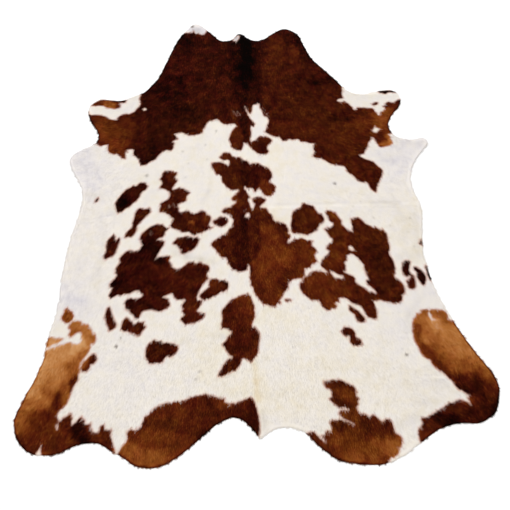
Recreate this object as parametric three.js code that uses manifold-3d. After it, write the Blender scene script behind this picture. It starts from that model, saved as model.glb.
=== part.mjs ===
// A hair-on cowhide rug, lying flat with its hair side up.
// Millimetres, +Z up. X runs across the hide from its spine, Y along the spine toward the neck.
// The hide is one piece of leather with its coat of short hair: one closed sheet whose outline
// is a table of landmarks for each leg, flank and end, and whose folds are rows of a table too.

import * as THREE from 'three';
import { mergeVertices } from 'three/addons/utils/BufferGeometryUtils.js';
import Module from 'manifold-3d';

// Driving dimensions
const SKIN_THICKNESS = 2;
const COAT_THICKNESS = 3.5;
const EDGE_STEPS = 3;          // straight steps of the cut edge between two landmarks
const LATTICE_PITCH = 56;      // spacing of the surface points away from the folds
const LATTICE_SPAN = { x: 1010, y: 1210 };
const CUTTER_REACH = 60;       // how far the outline cutter stands above and below the sheet

// The cut edge, in order round the hide from the nape over its left side to the tail and back.
// Each table is one stretch of the edge; x is out from the spine, y along it from mid length.
const NECK_LEFT = [
  { x: 0, y: 1098 }, { x: -24, y: 1098 }, { x: -52, y: 1058 }, { x: -88, y: 1050 },
  { x: -122, y: 1056 }, { x: -158, y: 1100 }, { x: -197, y: 1136 }, { x: -222, y: 1164 },
  { x: -262, y: 1180 }, { x: -288, y: 1152 }, { x: -325, y: 1110 }, { x: -352, y: 1056 },
  { x: -377, y: 1000 }, { x: -400, y: 940 }, { x: -422, y: 878 }, { x: -452, y: 802 },
  { x: -488, y: 750 },
];
const FORELEG_LEFT = [
  { x: -530, y: 708 }, { x: -580, y: 688 }, { x: -645, y: 663 }, { x: -700, y: 668 },
  { x: -745, y: 672 }, { x: -785, y: 642 }, { x: -802, y: 602 }, { x: -792, y: 552 },
  { x: -760, y: 494 }, { x: -738, y: 440 }, { x: -748, y: 402 }, { x: -790, y: 372 },
];
const ELBOW_LEFT = [
  { x: -842, y: 342 }, { x: -867, y: 304 }, { x: -857, y: 262 }, { x: -832, y: 210 },
  { x: -804, y: 156 },
];
const FLANK_LEFT = [
  { x: -788, y: 88 }, { x: -792, y: 30 }, { x: -804, y: -42 }, { x: -824, y: -118 },
  { x: -838, y: -202 }, { x: -848, y: -290 }, { x: -848, y: -400 }, { x: -851, y: -462 },
  { x: -866, y: -543 },
];
const HINDLEG_LEFT = [
  { x: -882, y: -618 }, { x: -884, y: -684 }, { x: -899, y: -733 }, { x: -922, y: -795 },
  { x: -948, y: -854 }, { x: -970, y: -912 }, { x: -979, y: -950 }, { x: -969, y: -1000 },
  { x: -942, y: -1040 }, { x: -905, y: -1070 }, { x: -860, y: -1083 }, { x: -798, y: -1078 },
  { x: -738, y: -1053 }, { x: -686, y: -1040 },
];
const RUMP_LEFT = [
  { x: -640, y: -1047 }, { x: -590, y: -1078 }, { x: -540, y: -1107 }, { x: -489, y: -1140 },
  { x: -430, y: -1151 }, { x: -370, y: -1138 }, { x: -300, y: -1094 }, { x: -236, y: -1048 },
  { x: -178, y: -998 }, { x: -132, y: -974 }, { x: -84, y: -974 }, { x: -50, y: -998 },
];
const TAIL = [
  { x: -20, y: -1034 }, { x: -2, y: -1057 }, { x: 20, y: -1042 },
];
const RUMP_RIGHT = [
  { x: 54, y: -1022 }, { x: 104, y: -1016 }, { x: 148, y: -1027 }, { x: 178, y: -1043 },
  { x: 211, y: -1080 }, { x: 254, y: -1116 }, { x: 305, y: -1151 }, { x: 368, y: -1170 },
  { x: 442, y: -1174 }, { x: 496, y: -1166 }, { x: 556, y: -1145 }, { x: 605, y: -1112 },
];
const HINDLEG_RIGHT = [
  { x: 667, y: -1076 }, { x: 712, y: -1048 }, { x: 760, y: -1033 }, { x: 812, y: -1030 },
  { x: 862, y: -1037 }, { x: 905, y: -1024 }, { x: 943, y: -1000 }, { x: 966, y: -964 },
  { x: 980, y: -918 }, { x: 981, y: -872 }, { x: 967, y: -828 }, { x: 938, y: -780 },
  { x: 902, y: -716 }, { x: 872, y: -658 }, { x: 852, y: -610 },
];
const FLANK_RIGHT = [
  { x: 828, y: -544 }, { x: 804, y: -472 }, { x: 785, y: -392 }, { x: 777, y: -322 },
  { x: 770, y: -292 }, { x: 777, y: -232 }, { x: 787, y: -148 }, { x: 801, y: -70 },
  { x: 801, y: -14 }, { x: 786, y: 34 }, { x: 778, y: 88 }, { x: 784, y: 152 },
];
const ELBOW_RIGHT = [
  { x: 800, y: 204 }, { x: 836, y: 256 }, { x: 872, y: 298 }, { x: 894, y: 334 },
  { x: 874, y: 356 }, { x: 826, y: 351 }, { x: 780, y: 361 },
];
const FORELEG_RIGHT = [
  { x: 740, y: 380 }, { x: 718, y: 412 }, { x: 716, y: 448 }, { x: 730, y: 488 },
  { x: 758, y: 528 }, { x: 787, y: 566 }, { x: 797, y: 610 }, { x: 785, y: 653 },
  { x: 750, y: 672 }, { x: 694, y: 668 }, { x: 633, y: 651 }, { x: 573, y: 656 },
  { x: 533, y: 680 }, { x: 506, y: 714 },
];
const NECK_RIGHT = [
  { x: 482, y: 752 }, { x: 450, y: 792 }, { x: 412, y: 842 }, { x: 370, y: 900 },
  { x: 345, y: 966 }, { x: 325, y: 1026 }, { x: 304, y: 1080 }, { x: 264, y: 1112 },
  { x: 226, y: 1125 }, { x: 184, y: 1106 }, { x: 140, y: 1070 }, { x: 98, y: 1049 },
  { x: 56, y: 1051 }, { x: 26, y: 1070 },
];
const CUT_EDGE = [
  ...NECK_LEFT, ...FORELEG_LEFT, ...ELBOW_LEFT, ...FLANK_LEFT, ...HINDLEG_LEFT, ...RUMP_LEFT,
  ...TAIL,
  ...RUMP_RIGHT, ...HINDLEG_RIGHT, ...FLANK_RIGHT, ...ELBOW_RIGHT, ...FORELEG_RIGHT, ...NECK_RIGHT,
];

// Where the sheet leaves the ground: soft ridges that run from one point to another.
// rise is the height of the crest, reach how far down the ridge falls off to either side.
const FOLDS = [
  { name: 'middle fold over the right flank', from: [70, -6], to: [800, -14], rise: 4, reach: 26 },
  { name: 'middle fold over the left flank', from: [-660, -30], to: [-810, -52], rise: 3.5, reach: 26 },
  { name: 'neck fold, left', from: [-400, 822], to: [-230, 814], rise: 3, reach: 26 },
  { name: 'neck fold, right', from: [250, 812], to: [440, 772], rise: 3, reach: 26 },
  { name: 'left belly wave', from: [-712, -90], to: [-742, -420], rise: 6, reach: 62 },
  { name: 'right belly wave', from: [706, -70], to: [716, -300], rise: 5, reach: 58 },
  { name: 'left shank, upper wave', from: [-890, -730], to: [-760, -690], rise: 4, reach: 44 },
  { name: 'left shank, lower wave', from: [-960, -880], to: [-800, -850], rise: 5, reach: 52 },
  { name: 'right shank, upper wave', from: [700, -640], to: [880, -670], rise: 5, reach: 46 },
  { name: 'right shank, lower wave', from: [780, -790], to: [950, -820], rise: 5, reach: 52 },
  { name: 'left elbow', from: [-850, 300], to: [-790, 250], rise: 6, reach: 48 },
  { name: 'right elbow', from: [880, 330], to: [800, 250], rise: 6, reach: 48 },
  { name: 'left foreleg', from: [-800, 600], to: [-740, 640], rise: 5, reach: 46 },
  { name: 'right foreleg', from: [795, 610], to: [730, 640], rise: 5, reach: 46 },
  { name: 'neck end, left', from: [-262, 1180], to: [-230, 1120], rise: 5, reach: 46 },
  { name: 'neck end, right', from: [240, 1130], to: [220, 1080], rise: 4, reach: 44 },
];

// Where the coat stands thicker on the skin, in the same columns.
const COAT_RIDGES = [
  { name: 'spine, neck to loin', from: [8, 1080], to: [4, 0], rise: 1.6, reach: 20 },
  { name: 'spine, loin to tail', from: [4, 0], to: [0, -1040], rise: 1.4, reach: 20 },
];

// Extra lattice lines beside the long straight folds, so that their crests stay smooth.
const FINE_LINES = {
  x: [{ at: 4, step: 20, lines: 2 }],
  y: [{ at: -12, step: 20, lines: 2 }, { at: 812, step: 22, lines: 1 }],
};

// Height of one ridge above a point: its rise, less with the square of the distance from its line.
function ridgeHeight(ridge, x, y) {
  const [x0, y0] = ridge.from;
  const [x1, y1] = ridge.to;
  const lengthSquared = (x1 - x0) ** 2 + (y1 - y0) ** 2;
  const along = ((x - x0) * (x1 - x0) + (y - y0) * (y1 - y0)) / lengthSquared;
  const nearest = THREE.MathUtils.clamp(along, 0, 1);
  const distance = Math.hypot(x - x0 - nearest * (x1 - x0), y - y0 - nearest * (y1 - y0));
  const falloff = Math.max(0, 1 - (distance / (2 * ridge.reach)) ** 2);
  return ridge.rise * falloff ** 3;
}

function totalRise(ridges, x, y) {
  return ridges.reduce((sum, ridge) => sum + ridgeHeight(ridge, x, y), 0);
}

// Lattice lines from -span to span at the pitch, with each fine group in place of its near lines.
function latticeLines(span, fineGroups) {
  const count = Math.ceil((2 * span) / LATTICE_PITCH);
  const regular = Array.from({ length: count + 1 }, (_, i) => -span + (2 * span * i) / count);
  const fine = fineGroups.flatMap(({ at, step, lines }) =>
    Array.from({ length: 2 * lines + 1 }, (_, i) => at + (i - lines) * step));
  const kept = regular.filter((line) => fine.every((near) => Math.abs(near - line) > LATTICE_PITCH / 3));
  return [...kept, ...fine].sort((a, b) => a - b);
}

// The sheet before it is cut out: underside and coat surface on one lattice, closed round its rim.
function sheetGeometry() {
  const xs = latticeLines(LATTICE_SPAN.x, FINE_LINES.x);
  const ys = latticeLines(LATTICE_SPAN.y, FINE_LINES.y);
  const points = [];
  for (const side of ['under', 'top']) {
    for (const y of ys) {
      for (const x of xs) {
        const under = totalRise(FOLDS, x, y);
        const thickness = SKIN_THICKNESS + COAT_THICKNESS + totalRise(COAT_RIDGES, x, y);
        points.push(x, y, side === 'under' ? under : under + thickness);
      }
    }
  }
  const columns = xs.length;
  const rows = ys.length;
  const under = (column, row) => row * columns + column;
  const top = (column, row) => columns * rows + under(column, row);
  const faces = [];
  const quad = (a, b, c, d) => faces.push(a, b, c, a, c, d);
  for (let row = 0; row + 1 < rows; row += 1) {
    for (let column = 0; column + 1 < columns; column += 1) {
      const [right, back] = [column + 1, row + 1];
      quad(top(column, row), top(right, row), top(right, back), top(column, back));
      quad(under(column, row), under(column, back), under(right, back), under(right, row));
    }
  }
  for (let column = 0; column + 1 < columns; column += 1) {
    const last = rows - 1;
    quad(under(column, 0), under(column + 1, 0), top(column + 1, 0), top(column, 0));
    quad(under(column + 1, last), under(column, last), top(column, last), top(column + 1, last));
  }
  for (let row = 0; row + 1 < rows; row += 1) {
    const last = columns - 1;
    quad(under(0, row + 1), under(0, row), top(0, row), top(0, row + 1));
    quad(under(last, row), under(last, row + 1), top(last, row + 1), top(last, row));
  }
  const geometry = new THREE.BufferGeometry();
  geometry.setAttribute('position', new THREE.Float32BufferAttribute(points, 3));
  geometry.setIndex(faces);
  return geometry;
}

// A straight-sided cutter with the hide's outline.
function outlineCutter() {
  const landmarks = CUT_EDGE.map(({ x, y }) => new THREE.Vector3(x, y, 0));
  const edge = new THREE.CatmullRomCurve3(landmarks, true, 'centripetal');
  const around = edge.getPoints(CUT_EDGE.length * EDGE_STEPS).slice(0, -1);
  const outline = new THREE.Shape(around.map(({ x, y }) => new THREE.Vector2(x, y)));
  const cutter = new THREE.ExtrudeGeometry(outline, { depth: 2 * CUTTER_REACH, bevelEnabled: false });
  return cutter.translate(0, 0, -CUTTER_REACH);
}

const wasm = await Module();
wasm.setup();

// A closed geometry as a solid that can be joined and cut.
function solidOf(geometry) {
  const bare = geometry.clone();
  bare.deleteAttribute('normal');
  bare.deleteAttribute('uv');
  const merged = mergeVertices(bare, 1e-4);
  return new wasm.Manifold(new wasm.Mesh({
    numProp: 3,
    vertProperties: Float32Array.from(merged.attributes.position.array),
    triVerts: Uint32Array.from(merged.index.array),
  }));
}

function geometryOf(solid) {
  const { vertProperties, triVerts } = solid.getMesh();
  const geometry = new THREE.BufferGeometry();
  geometry.setAttribute('position', new THREE.BufferAttribute(vertProperties, 3));
  geometry.setIndex(new THREE.BufferAttribute(triVerts, 1));
  geometry.computeVertexNormals();
  return geometry;
}

// The cut-out hide, with the middle of its box over the origin and its underside on the ground.
function hideGeometry() {
  const geometry = geometryOf(solidOf(sheetGeometry()).intersect(solidOf(outlineCutter())));
  geometry.computeBoundingBox();
  const { min, max } = geometry.boundingBox;
  return geometry.translate(-(min.x + max.x) / 2, -(min.y + max.y) / 2, -min.z);
}

const coat = new THREE.MeshStandardMaterial({ color: 0xe9e1d6, roughness: 0.75, metalness: 0 });
const hide = new THREE.Mesh(hideGeometry(), coat);
hide.name = 'hide';

const rug = new THREE.Group();
rug.add(hide);

export default rug;
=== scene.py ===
# %% [markdown]
# # A cowhide rug laid out on the floor
# The rug is one whole hide: leather about 2 mm thick that still carries its coat of short hair.
# Nothing is sewn to it. What has to look right is the ragged outline of neck, legs and belly,
# the brown patches on the white coat, and hair that lies flat and points from neck to tail.
# A hide could be a plane with a picture on it. Here it is a real sheet with its own thickness,
# its folds, a coat coloured by nodes, and a covering of small locks of hair made as meshes.

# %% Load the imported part
import math

import bmesh
import bpy
import numpy as np
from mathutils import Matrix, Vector, geometry
from mathutils.bvhtree import BVHTree


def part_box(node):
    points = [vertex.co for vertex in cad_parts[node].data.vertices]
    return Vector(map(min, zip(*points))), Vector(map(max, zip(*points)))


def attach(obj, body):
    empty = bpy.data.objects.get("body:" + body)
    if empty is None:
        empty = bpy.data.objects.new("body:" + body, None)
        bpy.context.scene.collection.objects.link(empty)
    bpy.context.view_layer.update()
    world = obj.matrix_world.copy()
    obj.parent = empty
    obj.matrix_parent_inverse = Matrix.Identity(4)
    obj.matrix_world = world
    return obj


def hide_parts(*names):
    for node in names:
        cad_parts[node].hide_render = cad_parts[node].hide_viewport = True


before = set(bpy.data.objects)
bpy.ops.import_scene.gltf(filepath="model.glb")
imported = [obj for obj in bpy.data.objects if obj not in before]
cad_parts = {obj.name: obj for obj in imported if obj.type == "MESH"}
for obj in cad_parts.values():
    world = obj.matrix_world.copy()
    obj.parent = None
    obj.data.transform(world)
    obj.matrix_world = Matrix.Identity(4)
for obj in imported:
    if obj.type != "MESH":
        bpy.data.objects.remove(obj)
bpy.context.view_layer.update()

CM, MM = 0.01, 0.001
low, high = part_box("hide")
print("packed hide, metres:", [round(b - a, 3) for a, b in zip(low, high)])

# %% [markdown]
# ## The camera
# A rug is shown from the front and well above, so that its whole outline can be read. The view
# is set by the point it looks at, two angles and a distance. A lens a little shorter than
# normal keeps the far end clearly smaller than the near end, as the eye sees it.

# %% Camera
VIEW_HEIGHT_DEG = 64.0          # above the floor
VIEW_SIDE_DEG = -2.5            # round the rug from its tail end
VIEW_DISTANCE = 2.770
VIEW_AIM = Vector((0.011, -0.252, 0.0))
SENSOR_MM, LENS_MM = 36.0, 43.2


def new_object(name, data, *materials):
    """An object in the scene that shows the data: a mesh with its materials, a camera or a lamp."""
    for material in materials:
        data.materials.append(material)
    made = bpy.data.objects.new(name, data)
    bpy.context.scene.collection.objects.link(made)
    return made


def aim(thing, place, way):
    """Puts a camera or a lamp at a place, looking along way."""
    thing.location = place
    thing.rotation_mode = "QUATERNION"
    thing.rotation_quaternion = way.to_track_quat("-Z", "Y")


height_angle, side_angle = math.radians(VIEW_HEIGHT_DEG), math.radians(VIEW_SIDE_DEG)
view_back = Vector((
    math.sin(side_angle) * math.cos(height_angle),
    -math.cos(side_angle) * math.cos(height_angle),
    math.sin(height_angle),
))
camera = new_object("camera", bpy.data.cameras.new("camera"))
camera.data.sensor_width, camera.data.lens = SENSOR_MM, LENS_MM
aim(camera, VIEW_AIM + VIEW_DISTANCE * view_back, -view_back)
bpy.context.scene.camera = camera
print("camera at", [round(c, 3) for c in camera.location])

# %% [markdown]
# ## Floor and light
# A hide this pale needs an even light, or one end turns grey. Most of the light comes from the
# white surroundings. One wide lamp, high above the shoulders, adds just enough direction
# to show the folds. The floor is almost white, so that the outline stands out against it.

# %% Floor and light
FLOOR_SIDE = 14.0
FLOOR_DROP = 0.4 * MM           # keeps the floor clear of the leather lying on it
FLOOR_COLOUR, WHITE_LIGHT = (0.97, 0.97, 0.97, 1), (1, 1, 1, 1)
AMBIENT = 0.90
LAMP_POWER, LAMP_SIZE = 104.0, 2.6
LAMP_PLACE = Vector((-0.6, 1.8, 5.5))


def set_inputs(made, **values):
    """Sets inputs of a node by their names, with _ for each space."""
    for name, value in values.items():
        made.inputs[name.replace("_", " ")].default_value = value


def new_material(name, **surface):
    """A material, its node tree and its shader, with inputs of the shader set by name."""
    made = bpy.data.materials.new(name)
    made.use_nodes = True
    shader = made.node_tree.nodes["Principled BSDF"]
    set_inputs(shader, **surface)
    return made, made.node_tree, shader


floor_paint = new_material(
    "floor_paint", Base_Color=FLOOR_COLOUR, Roughness=0.8, Specular_IOR_Level=0.2)[0]
floor_mesh = bpy.data.meshes.new("floor")
half = FLOOR_SIDE / 2
floor_mesh.from_pydata(
    [(x, y, -FLOOR_DROP) for x, y in ((-half, -half), (half, -half), (half, half), (-half, half))],
    [], [(0, 1, 2, 3)],
)
new_object("floor", floor_mesh, floor_paint)

scene = bpy.context.scene
scene.world = bpy.data.worlds.new("studio")
scene.world.use_nodes = True
set_inputs(scene.world.node_tree.nodes["Background"], Color=WHITE_LIGHT, Strength=AMBIENT)
scene.view_settings.view_transform = "Standard"

lamp = new_object("softbox", bpy.data.lights.new("softbox", "AREA"))
lamp.data.shape, lamp.data.size, lamp.data.energy = "SQUARE", LAMP_SIZE, LAMP_POWER
aim(lamp, LAMP_PLACE, -LAMP_PLACE)
print("floor", FLOOR_SIDE, "m wide, one lamp", round(LAMP_PLACE.z, 1), "m above it")

# %% [markdown]
# ## The cut edge
# The hide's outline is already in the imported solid. Its upper faces end at the cut edge, so the
# edges that belong to just one upper face, followed from corner to corner, give the outline.
# A knife leaves a line that is never quite even, so the outline is rounded a little and then
# given a seeded waver of about a millimetre.

# %% Outline of the hide
EDGE_STEP = 5 * MM
EDGE_ROUNDING = 8 * MM
EDGE_WAVER = 1.4 * MM
FINE_WAVER, BROAD_WAVER = 2.2, 7        # reach of the two parts of the waver, in steps
BROAD_WEIGHT = 2
packed_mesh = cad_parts["hide"].data
rng = np.random.default_rng(7)


def cut_edge(mesh):
    """The outline of a sheet's upper side, as an array of places in order."""
    shape = bmesh.new()
    shape.from_mesh(mesh)
    bmesh.ops.remove_doubles(shape, verts=shape.verts, dist=0.01 * MM)
    shape.normal_update()
    beside = {}
    for edge in shape.edges:
        if sum(face.normal.z > 0.5 for face in edge.link_faces) == 1:
            for one, other in (edge.verts, reversed(edge.verts)):
                beside.setdefault(one.index, []).append(other)
    start = next(iter(beside))
    walked, at, before = [], start, None
    while at != start or not walked:
        ahead = next(v for v in beside[at] if v.index != before)
        walked.append(ahead.co.xy[:])
        before, at = at, ahead.index
    shape.free()
    return np.array(walked)


def even_steps(loop, step):
    """The same closed line with its points one step apart."""
    closed = np.vstack([loop, loop[:1]])
    run = np.concatenate([[0], np.cumsum(np.hypot(*np.diff(closed, axis=0).T))])
    at = np.linspace(0, run[-1], int(run[-1] / step), endpoint=False)
    return np.stack([np.interp(at, run, closed[:, i]) for i in (0, 1)], 1)


def rounded(values, reach):
    """Values round a closed line, each blended with those within reach of it."""
    steps = np.arange(-3 * math.ceil(reach), 3 * math.ceil(reach) + 1)
    weights = np.exp(-0.5 * (steps / reach) ** 2)
    return sum(w * np.roll(values, s, 0) for s, w in zip(steps, weights)) / weights.sum()


def loop_area(loop):
    """The area inside a closed line, negative where the line runs clockwise."""
    x, y = loop.T
    return 0.5 * (x * np.roll(y, -1) - y * np.roll(x, -1)).sum()


def away_from(loop, steps):
    """Directions that point out of an anticlockwise line, each from its run over some steps."""
    run = np.roll(loop, -steps, 0) - np.roll(loop, steps, 0)
    return np.stack([run[:, 1], -run[:, 0]], 1) / np.hypot(*run.T)[:, None]


edge = rounded(even_steps(cut_edge(packed_mesh), EDGE_STEP), EDGE_ROUNDING / EDGE_STEP)
if loop_area(edge) < 0:
    edge = edge[::-1]
waver = rounded(rng.normal(size=len(edge)), FINE_WAVER)
waver += BROAD_WEIGHT * rounded(rng.normal(size=len(edge)), BROAD_WAVER)
edge = edge + away_from(edge, 1) * (EDGE_WAVER * waver / waver.std())[:, None]
print("cut edge:", len(edge), "points,", round(len(edge) * EDGE_STEP, 2), "m round")

# %% [markdown]
# ## Distance to a line
# Both the outline and every patch of colour are closed lines, and many later steps ask how far
# a point lies inside or outside one. A signed distance answers that: positive inside, negative
# outside. It is worked out once in numpy for all points, in short runs of the line, each of
# which only looks at the points near it.

# %% Signed distance to a closed line
RUN_LENGTH = 24


def signed_distance(points, loop, reach):
    """How far points lie inside (+) or outside (-) a closed loop, no further than reach."""
    found = np.full(len(points), -float(reach))
    near = np.flatnonzero(
        ((points > loop.min(0) - reach) & (points < loop.max(0) + reach)).all(1)
    )
    spots, ends = points[near], np.roll(loop, -1, 0)
    inside, gap = np.zeros(len(near), bool), np.full(len(near), float(reach) ** 2)
    for (x0, y0), (x1, y1) in zip(loop, ends):
        if y0 != y1:
            level = np.flatnonzero((y0 > spots[:, 1]) != (y1 > spots[:, 1]))
            crossing = x0 + (x1 - x0) * (spots[level, 1] - y0) / (y1 - y0)
            inside[level[spots[level, 0] < crossing]] ^= True
    for first in range(0, len(loop), RUN_LENGTH):
        a, b = loop[first:first + RUN_LENGTH], ends[first:first + RUN_LENGTH]
        lower = np.minimum(a, b).min(0) - reach
        upper = np.maximum(a, b).max(0) + reach
        some = np.flatnonzero(((spots > lower) & (spots < upper)).all(1))
        for start, run in zip(a, b - a):
            along = np.clip((spots[some] - start) @ run / max(run @ run, 1e-12), 0, 1)
            away = spots[some] - start - along[:, None] * run
            gap[some] = np.minimum(gap[some], (away ** 2).sum(1))
    found[near] = np.where(inside, 1, -1) * np.sqrt(gap)
    return found


# %% [markdown]
# ## How the hide lies
# Leather that was rolled or folded for the journey keeps soft ridges. The large ones are in the
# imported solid, so its upper and lower sides are measured on a grid of rays and smoothed, which
# takes out its facets. The sharper creases that ride on them are short rows here: where each
# one starts and ends, how high it stands and how far it spreads, in millimetres and centimetres.
# A few seeded waves, too low to see one by one, keep the coat between the folds from being flat.

# %% Grids of height
GRID_STEP, GRID_MARGIN = 10 * MM, 30 * MM
GRID_BLUR = 2.2                 # in grid steps
columns = np.arange(low.x - GRID_MARGIN, high.x + GRID_MARGIN, GRID_STEP)
rows = np.arange(low.y - GRID_MARGIN, high.y + GRID_MARGIN, GRID_STEP)


def ray_grid(tree, start_z, fall):
    """Heights where rays from start_z first meet the solid, with nan where they miss."""
    found = np.full((len(rows), len(columns)), np.nan)
    for j, y in enumerate(rows):
        for i, x in enumerate(columns):
            hit = tree.ray_cast(Vector((x, y, start_z)), Vector((0, 0, fall)))[0]
            if hit:
                found[j, i] = hit.z
    return found


def spread(grid, reach):
    """A grid blurred over its known squares and carried on past them."""
    steps = np.arange(-int(3 * reach), int(3 * reach) + 1)
    weights = np.exp(-0.5 * (steps / reach) ** 2)
    known = np.isfinite(grid).astype(float)
    total, share = np.where(known > 0, grid, 0), known
    for axis in (0, 1):
        total = np.apply_along_axis(np.convolve, axis, total, weights, "same")
        share = np.apply_along_axis(np.convolve, axis, share, weights, "same")
    return total / np.maximum(share, 1e-9)


solid = BVHTree.FromPolygons(
    [v.co for v in packed_mesh.vertices], [p.vertices[:] for p in packed_mesh.polygons],
)
upper_grid = spread(ray_grid(solid, 1.0, -1.0), GRID_BLUR)
lower_grid = spread(ray_grid(solid, -1.0, 1.0), GRID_BLUR)


def read_grid(grid, points):
    """Values of a grid between its squares."""
    at = (points - (columns[0], rows[0])) / GRID_STEP
    i, j = np.clip(np.floor(at).astype(int), 0, (len(columns) - 2, len(rows) - 2)).T
    u, v = (at - np.stack([i, j], 1)).T
    return ((grid[j, i] * (1 - u) + grid[j, i + 1] * u) * (1 - v)
            + (grid[j + 1, i] * (1 - u) + grid[j + 1, i + 1] * u) * v)


print("height of the packed sheet, mm:", round(np.nanmax(upper_grid) / MM, 1))

# %% Creases
CHART_ZERO = np.array((-0.1, -0.3))     # where the chart's middle lies in the frame, cm
CREASES = [
    # from x, y    to x, y         rise  reach
    ((8, -0.6), (79, -1.4), 1.4, 1.1),        # middle fold, right flank
    ((-80, -5.0), (-66, -3.0), 1.4, 1.0),     # middle fold, left flank
    ((-41, 82.0), (-23, 81.4), 1.8, 0.8),     # neck fold, left
    ((26, 81.0), (45, 77.4), 2.0, 0.8),       # neck fold, right
    ((-19, 15.0), (-19, 3.0), 1.0, 1.5),      # soft band beside the left chain
    ((61, -65.6), (75, -67.0), 1.0, 0.7),     # right thigh
    ((69, -84.0), (77, -84.6), 1.0, 0.6),
    ((36, 51.0), (52, 54.0), 0.8, 0.6),       # right shoulder
    ((40, 46.0), (50, 45.0), 0.8, 0.6),
    ((72, -66.0), (84, -62.0), 1.1, 0.8),     # right shank
    ((75, -74.0), (88, -71.0), 1.1, 0.8),
    ((80, -80.5), (93, -77.0), 1.1, 0.9),
    ((-92, -74.0), (-79, -72.0), 1.0, 0.8),   # left shank
    ((-94, -82.0), (-79, -79.0), 1.0, 0.8),
    ((-97, -90.0), (-83, -86.5), 1.1, 0.9),
    ((60, 50.0), (69, 47.0), 0.9, 0.6),       # right foreleg
    ((-76, 52.0), (-66, 47.0), 0.9, 0.7),     # left foreleg
]
WOBBLE = 0.25                   # how unevenly a crease stands, as a share of its height
WOBBLE_TURNS = (0.35, 0.45)     # radians a centimetre, across the hide and along it


def to_chart(points):
    """Places in the frame, in metres, as centimetres on the chart."""
    return points / CM - CHART_ZERO


def nearness(points, start, end, reach):
    """1 on the line from start to end, falling smoothly to 0 well past reach. All in cm."""
    start, run = np.array(start, float), np.subtract(end, start).astype(float)
    along = np.clip((points - start) @ run / max(run @ run, 1e-9), 0, 1)
    away = points - start - along[:, None] * run
    return np.exp(-(away ** 2).sum(1) / reach ** 2)


def crease_height(points):
    """What the creases add, in metres, a little uneven along each of them."""
    chart = to_chart(points)
    across, along = (chart * WOBBLE_TURNS).T
    wobble = 1 - WOBBLE + WOBBLE * np.sin(across) * np.cos(along)
    return MM * wobble * sum(
        rise * nearness(chart, start, end, reach) for start, end, rise, reach in CREASES
    )


def underside(points):
    """Height of the leather's lower side, which never sinks into the floor."""
    return np.maximum(read_grid(lower_grid, points), 0) + crease_height(points)


print(len(CREASES), "creases")

# %% Soft waves
WAVE_RISE = 0.175 * MM


def seeded_waves(shortest, longest, count):
    """Length, direction and phase of each of a few waves."""
    return [
        (rng.uniform(shortest, longest), rng.uniform(0, math.tau), rng.uniform(0, math.tau))
        for _ in range(count)
    ]


def sum_of_waves(points, waves):
    """All waves at the points, added up; each goes from -1 to 1."""
    return sum(
        np.sin(math.tau / length * (points @ (math.cos(turn), math.sin(turn))) + phase)
        for length, turn, phase in waves
    )


# Broad, very low waves, so that no part of the sheet is dead flat.
SOFT_WAVES = seeded_waves(0.10, 0.30, 9)
print(len(SOFT_WAVES), "waves, each", WAVE_RISE / MM, "mm high")
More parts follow.
